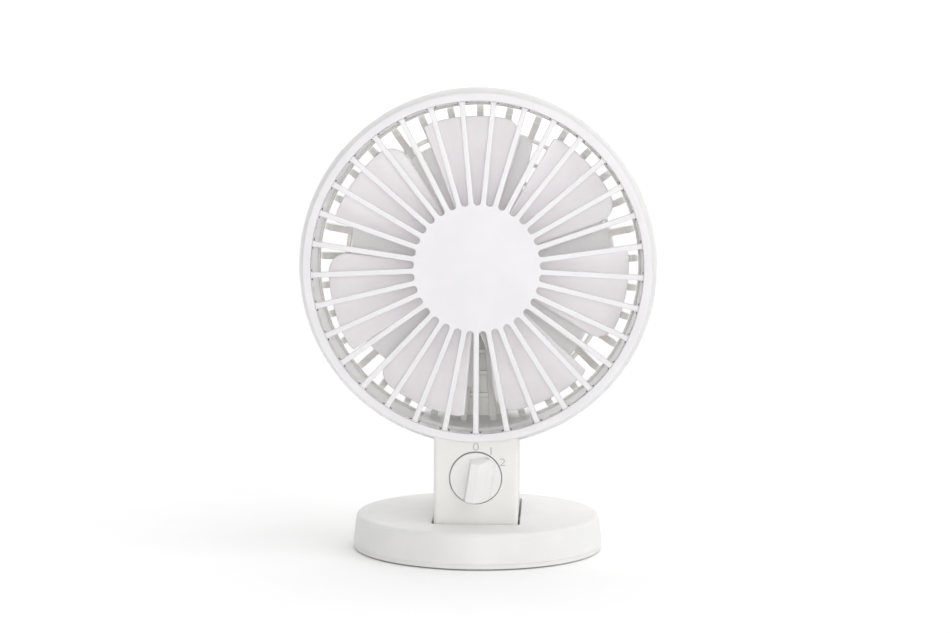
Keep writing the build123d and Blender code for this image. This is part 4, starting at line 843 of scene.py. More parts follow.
@dataclass
class DrumRing:
    """Rounded wall of the head with the floor above the stem; sizes in millimetres."""

    bench: Workbench
    place: HeadPlace
    front: Point = (73.1, 3.0)
    widest: Point = (75.5, 15.0)
    back: Point = (69.6, 31.0)
    wall: float = 1.3
    seam: float = 0.1
    floor_radius: float = 68.0
    floor_wall: float = 2.8
    floor_half_angle: float = 20.0
    floor_front: float = 8.0
    floor_buried_to: float = 24.0
    floor_buried_radius: float = 73.0
    floor_back: float = 51.0
    lid_half: float = 17.45
    lid_front: float = 49.0
    lid_back: float = 66.2
    lead_half: float = 7.2
    lead_front: float = 53.0
    lead_back: float = 61.8
    lead_reach: float = 4.0
    edge_soft: float = 0.3
    lid_soft: float = 0.4
    steps: int = 192

    def wall_outline(self) -> list[Point]:
        """Section of the wall: two arcs about one centre."""
        centre, radius = circle_through(self.front, self.widest, self.back)
        start = bearing(centre, self.front)
        end = bearing(centre, self.back)
        outer = arc(centre, radius, start + math.degrees(self.seam / radius), end, 18)
        inner = arc(centre, radius - self.wall, end, start, 14)
        return outer + inner

    def sector(self, inner: float, outer: float, near: float, far: float) -> Shape:
        """Curved floor block centred on six o'clock."""
        half = self.floor_half_angle
        out = arc((0.0, 0.0), outer, 180 - half, 180 + half, 16)
        back = arc((0.0, 0.0), inner, 180 + half, 180 - half, 16)
        axis = self.place.point(0, near, 0)
        points = [axis + Vector((x, 0, up)) * MM for up, x in out + back]
        return self.bench.prism(points, Vector((0, (far - near) * MM, 0)))

    def build(self) -> Shape:
        """Build the wall, the floor and the lid as one shell."""
        bench, point = self.bench, self.place.point
        ring = bench.turned(self.wall_outline(), self.place, self.steps)
        bench.round_edges(ring, self.edge_soft, 3, 50.0)
        outer = self.floor_radius + self.floor_wall
        buried = self.sector(self.floor_radius, self.floor_buried_radius, self.floor_front,
                             self.floor_buried_to)
        bench.combine(ring, buried, Join.ADD)
        floor = self.sector(self.floor_radius, outer, self.floor_front, self.floor_back)
        bench.combine(ring, floor, Join.ADD)
        lid = self.sector(self.floor_radius, outer, self.lid_front, self.lid_back)
        far_down = -2 * self.floor_radius
        bench.combine(lid, bench.box(point(-self.lid_half, self.lid_front - PAST, far_down),
                                     point(self.lid_half, self.lid_back + PAST, 0.0)), Join.KEEP)
        bench.round_edges(lid, self.lid_soft, 3, 60.0)
        bench.combine(ring, lid, Join.ADD)
        window = bench.box(point(-self.lead_half, self.lead_front, far_down),
                           point(self.lead_half, self.lead_back, self.lead_reach - self.floor_radius))
        bench.combine(ring, window, Join.CUT)
        # The drum's lighter finish is painted light for its shaded inside.
        return bench.finish(ring, "drum_wall", Body.HEAD, "shell_white", ["drum_ring"], ink="drum_white_painted_light")


@dataclass
class RearGuard:
    """Deep curved ribs with rings, the motor cup and the hollow spine; sizes in millimetres."""

    bench: Workbench
    place: HeadPlace
    drum: DrumRing
    ribs: int = 33
    rib_width: float = 2.9
    rib_depth: float = 4.6
    rib_soft: float = 0.55
    rib_inner: float = 23.4
    rib_outer: float = 68.9
    hub_radius: float = 24.0
    bowl_back: float = 50.0
    ring_radii: tuple[float, ...] = (57.6, 48.4, 39.2, 30.4)
    ring_width: float = 1.9
    ring_depth: float = 3.0
    ring_set_in: float = 0.5
    ring_soft: float = 0.5
    rim_outer: float = 69.3
    rim_inner: float = 68.3
    rim_front: float = 27.6
    rim_back: float = 30.6
    rim_soft: float = 0.4
    disc_front: float = 45.6
    pod_inner: float = 22.0
    pod_back: float = 63.8
    cup_outer: float = 17.0
    cup_inner: float = 15.0
    cup_front: float = 34.5
    cup_floor: float = 36.5
    seat_outer: float = 13.55
    seat_inner: float = 12.0
    shaft_hole: float = 3.05
    spine_soft: float = 1.0
    spine_half: float = 13.0
    spine_front: float = 49.0
    spine_wall: float = 2.0
    spine_down: float = 67.9
    boss_radius: float = 2.6
    boss_sunk: float = 0.5
    bore_radius: float = 1.0
    bore_depth: float = 9.0

    def bowl(self) -> tuple[Point, float]:
        """Centre and radius of the bowl's arc, tangent to the drum's."""
        centre, radius = circle_through(self.drum.front, self.drum.widest, self.drum.back)
        back = self.drum.back
        ux, uy = (centre[0] - back[0]) / radius, (centre[1] - back[1]) / radius
        dx, dy = back[0] - self.hub_radius, back[1] - self.bowl_back
        bowl_radius = -(dx * dx + dy * dy) / (2 * (dx * ux + dy * uy))
        return (back[0] + ux * bowl_radius, back[1] + uy * bowl_radius), bowl_radius

    def rib(self) -> Shape:
        """One rib at twelve o'clock, with softened edges."""
        centre, radius = self.bowl()
        start = math.degrees(math.acos((self.rib_outer - centre[0]) / radius))
        end = math.degrees(math.acos((self.rib_inner - centre[0]) / radius))
        outer = arc(centre, radius, start, end, 16)
        inner = arc(centre, radius - self.rib_depth, end, start, 16)
        side = Vector((-self.rib_width / 2 * MM, 0, 0))
        points = [self.place.at(r, 0, t) + side for r, t in outer + inner]
        rib = self.bench.prism(points, Vector((self.rib_width * MM, 0, 0)))
        self.bench.round_edges(rib, self.rib_soft, 3, 50.0)
        return rib

    def rings(self) -> list[Shape]:
        """Thin rings set into the ribs, and the rim inside the drum's rear edge."""
        centre, radius = self.bowl()
        made = []
        for middle in self.ring_radii:
            back = centre[1] + math.sqrt(radius ** 2 - (middle - centre[0]) ** 2) - self.ring_set_in
            half = self.ring_width / 2
            made.append(self.hoop(middle - half, middle + half, back - self.ring_depth, back, self.ring_soft))
        made.append(self.hoop(self.rim_inner, self.rim_outer, self.rim_front, self.rim_back, self.rim_soft))
        return made

    def hoop(self, inner: float, outer: float, near: float, far: float, soft: float) -> Shape:
        """Ring round the axis with a soft-cornered rectangular section."""
        corners = [(inner, near), (outer, near), (outer, far), (inner, far)]
        return self.bench.turned(rounded(corners, [soft] * 4, 3), self.place, self.drum.steps)

    def hub(self) -> Shape:
        """Cup for the motor, hub disc and pod wall as one turned section."""
        corners = [(self.hub_radius, self.pod_back), (self.hub_radius, self.disc_front),
                   (self.cup_outer, self.disc_front), (self.cup_outer, self.cup_front),
                   (self.shaft_hole, self.cup_front), (self.shaft_hole, self.cup_floor),
                   (self.seat_inner, self.cup_floor), (self.seat_inner, self.bowl_back),
                   (self.seat_outer, self.bowl_back), (self.seat_outer, self.cup_floor),
                   (self.cup_inner, self.cup_floor), (self.cup_inner, self.bowl_back),
                   (self.pod_inner, self.bowl_back), (self.pod_inner, self.pod_back)]
        radii = [0.0, 0.8, 1.2, 1.2, 0.2, 0.0, 0.0, 0.2, 0.2, 0.0, 0.0, 0.5, 0.5, 0.0]
        return self.bench.turned(rounded(corners, radii, 4), self.place, self.drum.steps)

    def spine(self) -> Shape:
        """Hollow column from the pod down to the stem."""
        half, wall, point = self.spine_half, self.spine_wall, self.place.point
        low = point(-half, self.spine_front, -self.spine_down)
        column = self.bench.box(low, point(half, self.pod_back, 0.0))
        with self.bench.editing(column):
            self.bench.pick_edges(column, lambda a, b: abs(a.x - b.x) < SAME and abs(a.y - b.y) < SAME
                                  and a.y < low.y + SAME)
            bpy.ops.mesh.bevel(offset=self.spine_soft * MM, segments=4, affect="EDGES")
        hollow = self.bench.box(point(wall - half, self.spine_front + wall, -self.spine_down - wall),
                                point(half - wall, self.pod_back + wall, 0.0))
        self.bench.combine(column, hollow, Join.CUT)
        pod = self.bench.rod(self.hub_radius - PAST, self.place, 0.0, self.pod_back + self.hub_radius,
                             steps=self.drum.steps // 2)
        self.bench.combine(column, pod, Join.CUT)
        return column

    def bosses(self) -> list[Shape]:
        """Screw bosses of the back cover."""
        made = []
        for clock, out in COVER_SCREWS:
            boss = self.bench.rod(self.boss_radius, self.place, self.bowl_back - self.boss_sunk,
                                  self.pod_back, clock, out, 32)
            bore = self.bench.rod(self.bore_radius, self.place, self.pod_back - self.bore_depth,
                                  self.pod_back + PAST, clock, out, 24)
            self.bench.combine(boss, bore, Join.CUT)
            made.append(boss)
        return made

    def build(self) -> Shape:
        """Put the whole moulding together."""
        guard = self.hub()
        ribs = self.bench.copies_round(self.rib(), self.place, self.ribs)
        self.bench.combine(guard, ribs, Join.ADD)
        for part in [*self.rings(), self.spine(), *self.bosses()]:
            self.bench.combine(guard, part, Join.ADD)
        # The lighter guard finish is painted light for the shaded ribs, pod and spine.
        return self.bench.finish(guard, "rear_ribs_and_pod", Body.HEAD, "shell_white", ["rear_guard"], 40.0,
                                 "guard_white_painted_light")


# ---------------------------------------------------------------- impellers
@dataclass
class Impeller:
    """Hub and thin twisted blades; sizes in millimetres."""

    bench: Workbench
    place: HeadPlace
    blade_wall: float = 1.3
    hub_wall: float = 1.6
    soft_edge: float = 0.45
    along: int = 20
    across: int = 26
    steps: int = 120
    blades: int = 5
    near: float = 19.6
    far: float = 32.6
    camber: float = 1.6

    def sheet(self, point: Callable[[float, float], Vector]) -> Shape:
        """Thin curved sheet with rounded edges.

        Args:
            point: Place of the sheet for shares along the blade and across it, both 0 to 1.

        Returns:
            The closed blade.
        """
        blade = self.bench.start(bpy.ops.mesh.primitive_grid_add, x_subdivisions=self.along,
                                 y_subdivisions=self.across, size=2.0)
        for vertex in blade.data.vertices:
            vertex.co = point((vertex.co.x + 1) / 2, (vertex.co.y + 1) / 2)
        self.bench.face_outward(blade)
        self.bench.modify(blade, "SOLIDIFY", thickness=self.blade_wall * MM, offset=0.0)
        self.bench.modify(blade, "BEVEL", width=self.soft_edge * MM, segments=3, limit_method="ANGLE",
                          angle_limit=math.radians(60), use_clamp_overlap=False)
        self.bench.face_outward(blade)
        return blade

    def rise(self, share: float) -> float:
        """Depth of the blade's middle at a share of its width, along a slightly cambered slope."""
        return self.near + (self.far - self.near) * share + self.camber * (1 - (2 * share - 1) ** 2)

    def wheel(self, corners: Sequence[Point], radii: Sequence[float], on_axis: bool, blade: Shape) -> Shape:
        """Turned hub with blades all round.

        Args:
            corners: Corners of the hub's section as (radius, depth).
            radii: Rounding of each corner.
            on_axis: Whether the section starts and ends on the axis.
            blade: The blade, which is used up.

        Returns:
            Hub and blades in one.
        """
        wheel = self.bench.turned(rounded(corners, radii, 4), self.place, self.steps, on_axis)
        self.bench.combine(wheel, self.bench.copies_round(blade, self.place, self.blades), Join.ADD)
        return wheel


@dataclass
class FrontImpeller(Impeller):
    """Seven blades that run one way, fixed on the shaft."""

    blades: int = 7
    first: float = 30.3
    span: float = 39.5
    tip: float = 63.5
    root: float = 18.3
    near: float = 6.6
    far: float = 16.4
    crowding: float = 1.8
    tip_round: float = 9.5
    corner_round: float = 0.8
    hub_radius: float = 19.0
    hub_front: float = 5.2
    hub_back: float = 17.4
    boss_radius: float = 3.4
    boss_back: float = 18.0
    bore: float = 1.15
    bore_front: float = 7.4

    def reach(self, angle: float) -> float:
        """Radius of the blade's tip at an angle in degrees from its thin edge."""
        out = self.tip
        for gap, radius in ((self.span - angle, self.tip_round), (angle, self.corner_round)):
            along = self.tip * math.radians(gap)
            if along < radius:
                out = min(out, self.tip - radius + math.sqrt(radius ** 2 - (radius - along) ** 2))
        return out

    def crowded(self, share: float) -> float:
        """Spread rows so that more of them lie at the rounded edge."""
        return 1 - (1 - share) ** self.crowding

    def blade(self) -> Shape:
        """One blade, with its thin edge at the first clock angle."""

        def point(out: float, turn: float) -> Vector:
            angle = self.span * self.crowded(turn)
            radius = self.root + (self.reach(angle) - self.root) * out
            rise = self.rise(angle / self.span)
            return self.place.at(radius, self.first + angle, rise + self.blade_wall / 2)

        return self.sheet(point)

    def build(self) -> Shape:
        """Join the blades to the hub."""
        inner, floor = self.hub_radius - self.hub_wall, self.hub_front + self.hub_wall
        corners = [(0.0, self.hub_front), (self.hub_radius, self.hub_front), (self.hub_radius, self.hub_back),
                   (inner, self.hub_back), (inner, floor), (self.boss_radius, floor),
                   (self.boss_radius, self.boss_back), (self.bore, self.boss_back),
                   (self.bore, self.bore_front), (0.0, self.bore_front)]
        wheel = self.wheel(corners, [0.0, 1.4, 0.3, 0.3, 0.4, 0.4, 0.3, 0.1, 0.0, 0.0], True, self.blade())
        return self.bench.finish(wheel, "front_wheel", Body.FRONT_FAN, "blade_white", ["front_impeller"],
                                 40.0)


@dataclass
class RearImpeller(Impeller):
    """Five wide blades that run the other way, driven through the gears."""

    edge_clock: float = 12.5
    edge_offset: float = 11.0
    span: float = 59.0
    tip: float = 58.2
    tip_trailing: float = 53.4
    root: float = 17.7
    corner_round: float = 2.0
    hub_radius: float = 18.4
    hub_front: float = 18.6
    hub_back: float = 33.2
    gear_seat: float = 16.2
    boss_radius: float = 4.4
    boss_back: float = 22.9
    bore: float = 2.6

    def blade(self) -> Shape:
        """One blade, its straight edge parallel to the line at the edge's clock angle."""
        edge = math.asin(self.edge_offset / self.tip)
        low_side = self.tip_trailing * math.sin(edge - math.radians(self.span))
        wide = self.edge_offset - low_side

        def point(out: float, turn: float) -> Vector:
            tip = self.tip + (self.tip_trailing - self.tip) * turn
            soft = self.corner_round
            for gap in (turn, 1 - turn):
                along = gap * math.radians(self.span) * tip
                if along < soft:
                    tip -= soft - math.sqrt(soft ** 2 - (soft - along) ** 2)
            radius = self.root + (tip - self.root) * out
            lead = math.asin(self.edge_offset / radius)
            angle = lead + (edge - math.radians(self.span) - lead) * turn
            rise = self.rise((self.edge_offset - radius * math.sin(angle)) / wide)
            return self.place.at(radius, self.edge_clock + math.degrees(angle), rise + self.blade_wall / 2)

        return self.sheet(point)

    def build(self) -> Shape:
        """Join the blades to the hub."""
        floor = self.hub_front + self.hub_wall
        corners = [(self.hub_radius, self.hub_front), (self.hub_radius, self.hub_back),
                   (self.gear_seat, self.hub_back), (self.gear_seat, floor), (self.boss_radius, floor),
                   (self.boss_radius, self.boss_back), (self.bore, self.boss_back),
                   (self.bore, self.hub_front)]
        wheel = self.wheel(corners, [1.0, 0.3, 0.3, 0.2, 0.3, 0.2, 0.0, 0.2], False, self.blade())
        # The rear blades' lighter finish is painted light for blades that sit in shade.
        return self.bench.finish(wheel, "rear_wheel", Body.REAR_FAN, "blade_white", ["rear_impeller"], 40.0,
                                 "rear_blade_painted_light")


# ---------------------------------------------------------------- base, knob and dial
@dataclass
class BaseCover:
    """Round top shell with the slot that the stem tilts in; sizes in millimetres."""

    bench: Workbench
    wall: float = 2.2
    top_radius: float = 52.6
    edge: float = 2.0
    slot_side_gap: float = 0.85
    slot_front_gap: float = 0.8
    slot_rear_gap: float = 3.6
    slot_corner: float = 2.2
    slot_soft: float = 0.45
    skirt: float = 1.6
    skirt_bottom: float = 4.6
    notch_half: float = 2.1
    notch_past: float = 0.1
    inlet_gap: float = 0.25
    inlet_round: float = 1.4
    inlet_front: float = 44.0
    steps: int = 240

    def slot_outline(self, grow: float) -> list[Point]:
        """Rounded rectangle of the slot, grown all round, as (x, y)."""
        front_low, front_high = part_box("stem_front")
        rear_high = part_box("stem_rear")[1]
        half = front_high.x / MM + self.slot_side_gap + grow
        front = front_low.y / MM - self.slot_front_gap - grow
        back = rear_high.y / MM + self.slot_rear_gap + grow
        corners = [(-half, front), (half, front), (half, back), (-half, back)]
        return rounded(corners, [self.slot_corner + grow] * 4, 6)

    def upright(self, outline: Sequence[Point], low: float, high: float) -> Shape:
        """Upright solid over an outline, between two heights."""
        points = [Vector((x, y, low)) * MM for x, y in outline]
        return self.bench.prism(points, Vector((0, 0, (high - low) * MM)))

    def build(self) -> Shape:
        """Spin the shell, add the skirt and cut the slot, the notch and the inlet's mouth."""
        low, high = in_mm(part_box("base_cover"))
        radius = high.x
        inner_top = high.z - self.wall
        corners = [(0.0, high.z), (self.top_radius, high.z), (radius, low.z), (radius - self.wall, low.z),
                   (self.top_radius - self.wall, inner_top), (0.0, inner_top)]
        outline = rounded(corners, [0.0, self.edge, 0.4, 0.2, 1.0, 0.0], 8)
        points = [Vector((r, 0, z)) * MM for r, z in outline]
        cover = self.bench.spun(points, Vector((0, 0, 0)), Vector((0, 0, 1)), self.steps)
        skirt = self.upright(self.slot_outline(self.skirt), self.skirt_bottom, high.z - self.wall / 2)
        self.bench.combine(cover, skirt, Join.ADD)
        self.bench.combine(cover, self.upright(self.slot_outline(0.0), 0.0, 2 * high.z), Join.CUT)
        self.bench.round_edges(cover, self.slot_soft, 3, 60.0)
        pin_low, pin_high = in_mm(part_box("tilt_pin"))
        middle = (pin_low + pin_high) / 2
        reach = self.notch_past - self.slot_outline(self.skirt)[0][0]
        notch = self.bench.box(Vector((-reach, middle.y - self.notch_half, 0)) * MM,
                               Vector((reach, middle.y + self.notch_half, middle.z + self.notch_half)) * MM)
        self.bench.combine(cover, notch, Join.CUT)
        mouth_low, mouth_high = in_mm(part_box("power_inlet"))
        gap = Vector((self.inlet_gap, 0, self.inlet_gap))
        mouth_low, mouth_high = mouth_low - gap, mouth_high + gap
        mouth_low.y, mouth_high.y = self.inlet_front, radius + PAST
        mouth = self.bench.box(mouth_low * MM, mouth_high * MM)
        with self.bench.editing(mouth):
            self.bench.pick_edges(mouth, lambda a, b: abs(a.x - b.x) < SAME and abs(a.z - b.z) < SAME)
            bpy.ops.mesh.bevel(offset=self.inlet_round * MM, segments=5, affect="EDGES")
        self.bench.combine(cover, mouth, Join.CUT)
        return self.bench.finish(cover, "base_shell", Body.BASE, "base_white", ["base_cover"], 35.0)


@dataclass
class SpeedKnob:
    """Round knob with a wedge grip; sizes in millimetres."""

    bench: Workbench
    radius: float = 10.8
    flange: float = 1.2
    grip_high: float = 3.6
    grip_left: float = -3.0
    grip_right: float = 0.6
    grip_draft: float = 0.5
    slope_end: float = 8.6
    grip_reach: float = 10.3
    grip_top: float = 8.2
    grip_slant: float = 0.55
    grip_flare: float = 0.45
    grip_trim: float = 10.0
    turn: float = 9.0
    bore: float = 2.5
    roof: float = 1.4
    soft: float = 0.3
    sides: int = 128

    def build(self) -> Shape:
        """Spin the knob, add the wedge and soften where they meet."""
        low, high = in_mm(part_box("knob"))
        rim = (high.x - low.x) / 2
        face = low.y + self.grip_high
        seat = high.y - self.flange
        axis = Vector((0, 0, (low.z + high.z) / 2))
        corners = [(0.0, face), (self.radius, face), (self.radius, seat), (rim, seat), (rim, high.y),
                   (self.bore, high.y), (self.bore, face + self.roof), (0.0, face + self.roof)]
        outline = rounded(corners, [0.0, 0.6, 0.0, 0.2, 0.2, 0.2, 0.0, 0.0], 5)
        points = [(axis + Vector((0, y, r))) * MM for r, y in outline]
        knob = self.bench.spun(points, axis * MM, Vector((0, 1, 0)), self.sides)
        top, sunk = face - self.grip_high, face + PAST
        wedge_corners = [(self.grip_left - self.grip_draft, sunk), (self.grip_left, top),
                         (self.grip_right, top), (self.slope_end, face), (self.slope_end, sunk)]
        wedge_outline = rounded(wedge_corners, [0.0, 0.55, 0.9, 4.0, 0.0], 6)
        reach = self.radius + PAST
        wedge = self.bench.prism([Vector((x, y, axis.z - reach)) * MM for x, y in wedge_outline],
                                 Vector((0, 0, 2 * reach * MM)))
        for vertex in wedge.data.vertices:
            if vertex.co.z > axis.z * MM:
                raised = max(0.0, face - vertex.co.y / MM)
                beyond = max(0.0, vertex.co.x / MM - self.grip_right)
                end = self.grip_top - self.grip_slant * raised + self.grip_flare * beyond
                vertex.co.z = (axis.z + end) * MM
        trim = self.bench.start(bpy.ops.mesh.primitive_cylinder_add, vertices=self.sides,
                                radius=self.grip_reach * MM, depth=2 * self.grip_trim * MM,
                                location=(axis + Vector((0, face, 0))) * MM, rotation=(math.pi / 2, 0, 0))
        self.bench.combine(wedge, trim, Join.KEEP)
        middle = Matrix.Translation(axis * MM)
        wedge.data.transform(middle @ Matrix.Rotation(math.radians(self.turn), 4, "Y") @ middle.inverted())
        self.bench.combine(knob, wedge, Join.ADD)
        self.bench.round_edges(knob, self.soft, 3, 40.0)
        return self.bench.finish(knob, "speed_knob_cap", Body.KNOB, "knob_white", ["knob"], 35.0)


@dataclass
class DialNumbers:
    """Printed numbers 0, 1 and 2 around the knob; sizes in millimetres."""

    bench: Workbench
    radius: float = 13.2
    clocks: tuple[float, ...] = (0.0, 29.0, 59.0)
    height: float = 3.1
    widen: float = 1.3
    ink: float = 0.03
    thin: float = -0.012
    lift: float = 0.01

    def build(self) -> Shape:
        """Set each number upright at its clock angle and join them."""
        low, high = in_mm(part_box("knob"))
        axis_z = (low.z + high.z) / 2
        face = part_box("stem_front")[0].y / MM
        numbers = []
        for value, clock in enumerate(self.clocks):
            bpy.ops.object.select_all(action="DESELECT")
            bpy.ops.object.text_add(rotation=(math.pi / 2, 0, 0))
            text = bpy.context.view_layer.objects.active
            text.data.body = str(value)
            text.data.offset = self.thin
            text.data.extrude = self.lift
            bpy.ops.object.convert(target="MESH")
            bpy.ops.object.transform_apply(location=True, rotation=True, scale=True)
            number = bpy.context.view_layer.objects.active
            xs, ys, zs = zip(*(vertex.co for vertex in number.data.vertices))
            grow = self.height * MM / (max(zs) - min(zs))
            thick = self.ink * MM / (max(ys) - min(ys))
            middle = Vector(((min(xs) + max(xs)) / 2, max(ys), (min(zs) + max(zs)) / 2))
            a = math.radians(clock)
            spot = Vector((self.radius * math.sin(a), face, axis_z + self.radius * math.cos(a))) * MM
            size = Matrix.Diagonal((grow * self.widen, thick, grow, 1.0))
            number.data.transform(Matrix.Translation(spot) @ size @ Matrix.Translation(-middle))
            numbers.append(number)
        piece = self.bench.join(numbers)
        self.bench.face_outward(piece, SAME / 10)
        return self.bench.finish(piece, "dial_numbers", Body.HEAD, "shell_white", ink="dial_ink")


@dataclass
class ScrewSet:
    """Identical pan-head screws with cross recesses; sizes in millimetres."""

    bench: Workbench
    name: str
    node: str
    body: Body
    points: tuple[Vector, ...]
    drive: Vector
    head_radius: float
    head_high: float
    length: float
    shank_radius: float = 1.0
    slot_width: float = 0.55
    slot_share: float = 0.62
    slot_rest: float = 0.35
    dome_share: float = 0.6
    sides: int = 40

    def screw(self, seat: Vector) -> Shape:
        """One screw, its head's seat at a point, driven along the set's direction."""
        turn = Vector((0, 0, 1)).rotation_difference(self.drive).to_matrix().to_4x4()
        corners = [(0.0, -self.head_high), (self.head_radius, -self.head_high), (self.head_radius, 0.0),
                   (self.shank_radius, 0.0), (self.shank_radius, self.length), (0.0, self.length)]
        outline = rounded(corners, [0.0, self.head_high * self.dome_share, 0.1, 0.0, 0.3, 0.0], 5)
        points = [Vector((r, 0, z)) * MM for r, z in outline]
        screw = self.bench.spun(points, Vector((0, 0, 0)), Vector((0, 0, 1)), self.sides)
        arm, half = self.head_radius * self.slot_share, self.slot_width / 2
        for across, along in ((arm, half), (half, arm)):
            cut = self.bench.box(Vector((-across, -along, -self.head_high - PAST)) * MM,
                                 Vector((across, along, -self.head_high * self.slot_rest)) * MM)
            self.bench.combine(screw, cut, Join.CUT)
        screw.data.transform(Matrix.Translation(seat * MM) @ turn)
        return screw

    def build(self) -> Shape:
        """Model each screw and join the set."""
        screws = [self.screw(point) for point in self.points]
        piece = self.bench.join(screws)
        return self.bench.finish(piece, self.name, self.body, "screw_steel", [self.node], 30.0)


@dataclass
class RubberFeet:
    """Four round feet with a soft edge and a shallow ring; sizes in millimetres."""

    bench: Workbench
    radius: float = 5.0
    high: float = 1.4
    groove_radius: float = 3.2
    groove: float = 0.25
    sides: int = 48

    def build(self) -> Shape:
        """Spin one foot at each corner of the frame's set of feet."""
        low, high = in_mm(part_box("rubber_feet"))
        out = high.x - self.radius
        g, r = self.groove, self.groove_radius
        corners = [(0.0, 0.0), (r - g, 0.0), (r, g), (r + g, 0.0), (self.radius, 0.0),
                   (self.radius, self.high), (0.0, self.high)]
        outline = rounded(corners, [0.0, 0.1, 0.1, 0.1, 0.35, 0.1, 0.0], 4)
        feet = []
        for x, y in ((-out, -out), (out, -out), (out, out), (-out, out)):
            centre = Vector((x, y, low.z)) * MM
            points = [centre + Vector((radius, 0, z)) * MM for radius, z in outline]
            feet.append(self.bench.spun(points, centre, Vector((0, 0, 1)), self.sides))
        piece = self.bench.join(feet)
        return self.bench.finish(piece, "four_feet", Body.BASE, "foot_rubber", ["rubber_feet"])


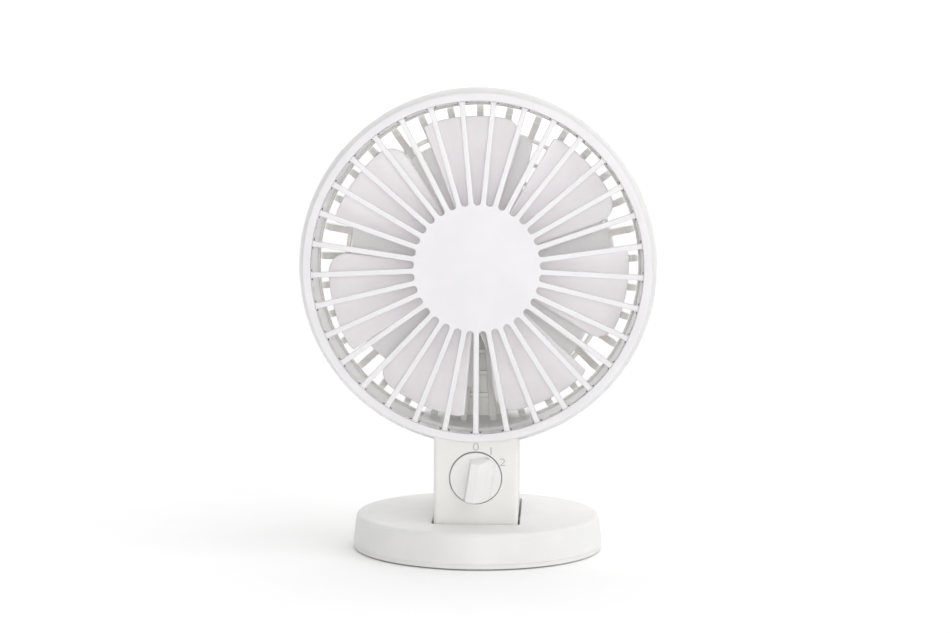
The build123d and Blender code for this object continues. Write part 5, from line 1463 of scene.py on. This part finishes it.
# ---------------------------------------------------------------- studio
@dataclass(frozen=True)
class Studio:
    """Camera, floor and soft lights; distances in metres, angles in degrees."""

    camera_at: tuple[float, float, float] = (0.0315, -0.9247, 0.1802)
    yaw: float = -2.06
    pitch: float = -4.93
    roll: float = -0.355
    lens: float = 81.44
    floor_side: float = 40.0
    floor_drop: float = 0.00005
    floor_tones: tuple[float, float] = (0.98, 0.99)
    dapple_mm: float = 1000 / 30
    sky: float = 1.22
    left_share: float = 0.8
    right_share: float = 1.2
    front_share: float = 0.3
    even_part: tuple[float, float] = (0.36, 0.64)
    front_part: tuple[float, float] = (-0.35, 0.25)
    overhead: float = 1.0
    overhead_from: tuple[float, float, float] = (0.8, -0.6, 1.1)
    overhead_spread: float = 60.0
    lamp_at: tuple[float, float, float] = (0.05, -1.05, 0.2)
    lamp_aim: tuple[float, float, float] = (0.0, 0.0, 0.11)
    lamp_side: float = 0.15
    lamp_power: float = 2.5

    def set_camera(self) -> None:
        """Place the camera in front of the fan, a little above its middle."""
        yaw, pitch, roll = (math.radians(a) for a in (self.yaw, self.pitch, self.roll))
        ahead = Vector((math.sin(yaw) * math.cos(pitch), math.cos(yaw) * math.cos(pitch), math.sin(pitch)))
        right = Vector((math.cos(yaw), -math.sin(yaw), 0.0))
        up = right.cross(ahead)
        side = right * math.cos(roll) - up * math.sin(roll)
        top = right * math.sin(roll) + up * math.cos(roll)
        data = bpy.data.cameras.new("camera")
        data.lens = self.lens
        data.clip_start = 0.01
        camera = bpy.data.objects.new("camera", data)
        turn = Matrix((side, top, -ahead)).transposed().to_4x4()
        camera.matrix_world = Matrix.Translation(self.camera_at) @ turn
        bpy.context.scene.collection.objects.link(camera)
        bpy.context.scene.camera = camera

    def light(self, name: str, kind: str, energy: float, at: Sequence[float], aim: Sequence[float],
              **settings: object) -> None:
        """Add a light that faces a point.

        Args:
            name: Its name.
            kind: Blender's type of light.
            energy: Its power in watts, or watts for each square metre from a sun.
            at: Its place.
            aim: The point that it faces.
            **settings: Its other settings.
        """
        data = bpy.data.lights.new(name, kind)
        configure(data, {"energy": energy, **settings})
        lamp = bpy.data.objects.new(name, data)
        lamp.location = at
        lamp.rotation_mode = "QUATERNION"
        lamp.rotation_quaternion = (Vector(aim) - Vector(at)).to_track_quat("-Z", "Y")
        bpy.context.scene.collection.objects.link(lamp)

    def set_sky(self) -> None:
        """White surroundings, brighter from the right than from the left and dimmer in front."""
        world = bpy.data.worlds.new("studio")
        world.use_nodes = True
        background = world.node_tree.nodes["Background"]
        background.inputs["Strength"].default_value = self.right_share
        sheet = NodeSheet(world.node_tree)
        split = sheet.add("ShaderNodeSeparateXYZ")
        across = sheet.add("ShaderNodeMapRange", {"From Min": -1.0})
        low, high = self.even_part
        tones = ((0.0, self.left_share), (low, self.sky), (high, self.sky), (1.0, self.right_share))
        ramp = sheet.ramp([(position, [tone / self.right_share] * 3) for position, tone in tones])
        near, far = self.front_part
        ahead = sheet.add("ShaderNodeMapRange", {"From Min": near, "From Max": far,
                                                 "To Min": self.front_share})
        dim = sheet.add("ShaderNodeVectorMath", operation="SCALE")
        sheet.link(sheet.place, "Generated", split, "Vector")
        sheet.link(split, "X", across, "Value")
        sheet.link(across, "Result", ramp, "Fac")
        sheet.link(split, "Y", ahead, "Value")
        sheet.link(ramp, "Color", dim, "Vector")
        sheet.link(ahead, "Result", dim, "Scale")
        sheet.link(dim, "Vector", background, "Color")
        bpy.context.scene.world = world

    def set_floor(self) -> None:
        """Lay a large white floor just below the feet."""
        bpy.ops.object.select_all(action="DESELECT")
        bpy.ops.mesh.primitive_plane_add(size=self.floor_side, location=(0, 0, -self.floor_drop))
        floor = bpy.context.view_layer.objects.active
        floor.name = "floor"
        sheet = MaterialSheet("floor_white")
        dark, light = ([tone] * 3 for tone in self.floor_tones)
        sheet.colours(sheet.noise(self.dapple_mm, 2.0), dark, light)
        sheet.shader.inputs["Roughness"].default_value = 0.9
        floor.data.materials.append(sheet.material)

    def build(self) -> None:
        """Set up everything around the fan."""
        self.set_camera()
        self.set_floor()
        self.set_sky()
        bpy.context.scene.view_settings.view_transform = "Standard"
        self.light("overhead", "SUN", self.overhead, self.overhead_from, (0, 0, 0),
                   angle=math.radians(self.overhead_spread))
        self.light("front", "AREA", self.lamp_power, self.lamp_at, self.lamp_aim, size=self.lamp_side)


def screw_sets(bench: Workbench, place: HeadPlace) -> list[ScrewSet]:
    """The screws that can be seen from outside, by where they sit.

    Args:
        bench: The shared workbench.
        place: The head's frame.

    Returns:
        One set for each node of screws.
    """
    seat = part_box("cover_screws")[1].y / MM - COVER_HEAD_HIGH
    points = tuple(place.at(out, clock, seat - place.front_y) / MM for clock, out in COVER_SCREWS)
    sets = [ScrewSet(bench, "cover_screw_set", "cover_screws", Body.HEAD, points, Vector((0, -1, 0)),
                     COVER_HEAD_RADIUS, COVER_HEAD_HIGH, COVER_SCREW_LONG)]
    for node in ("base_screws", "weight_screws", "bracket_screws"):
        low, high = in_mm(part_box(node))
        seat = low.z + LOW_HEAD_HIGH
        xs = (low.x + LOW_HEAD_RADIUS, high.x - LOW_HEAD_RADIUS)
        ys = (low.y + LOW_HEAD_RADIUS, high.y - LOW_HEAD_RADIUS)
        points = tuple(Vector((x, y, seat)) for x in xs for y in ys)
        sets.append(ScrewSet(bench, node + "_set", node, Body.BASE, points, Vector((0, 0, 1)),
                             LOW_HEAD_RADIUS, LOW_HEAD_HIGH, high.z - seat))
    return sets


def main() -> None:
    """Build the studio, then each sub-assembly in turn."""
    logging.basicConfig(level=logging.INFO, format="%(name)s: %(message)s")
    Studio().build()
    finishes = FinishBook()
    finishes.dress_frame()
    bench = Workbench(finishes)
    place = HeadPlace.from_frame()
    drum = DrumRing(bench, place)
    FrontGuard(bench, place).build()
    drum.build()
    RearGuard(bench, place, drum).build()
    FrontImpeller(bench, place).build()
    RearImpeller(bench, place).build()
    BaseCover(bench).build()
    SpeedKnob(bench).build()
    DialNumbers(bench).build()
    RubberFeet(bench).build()
    for screws in screw_sets(bench, place):
        screws.build()


if __name__ == "__main__":
    main()
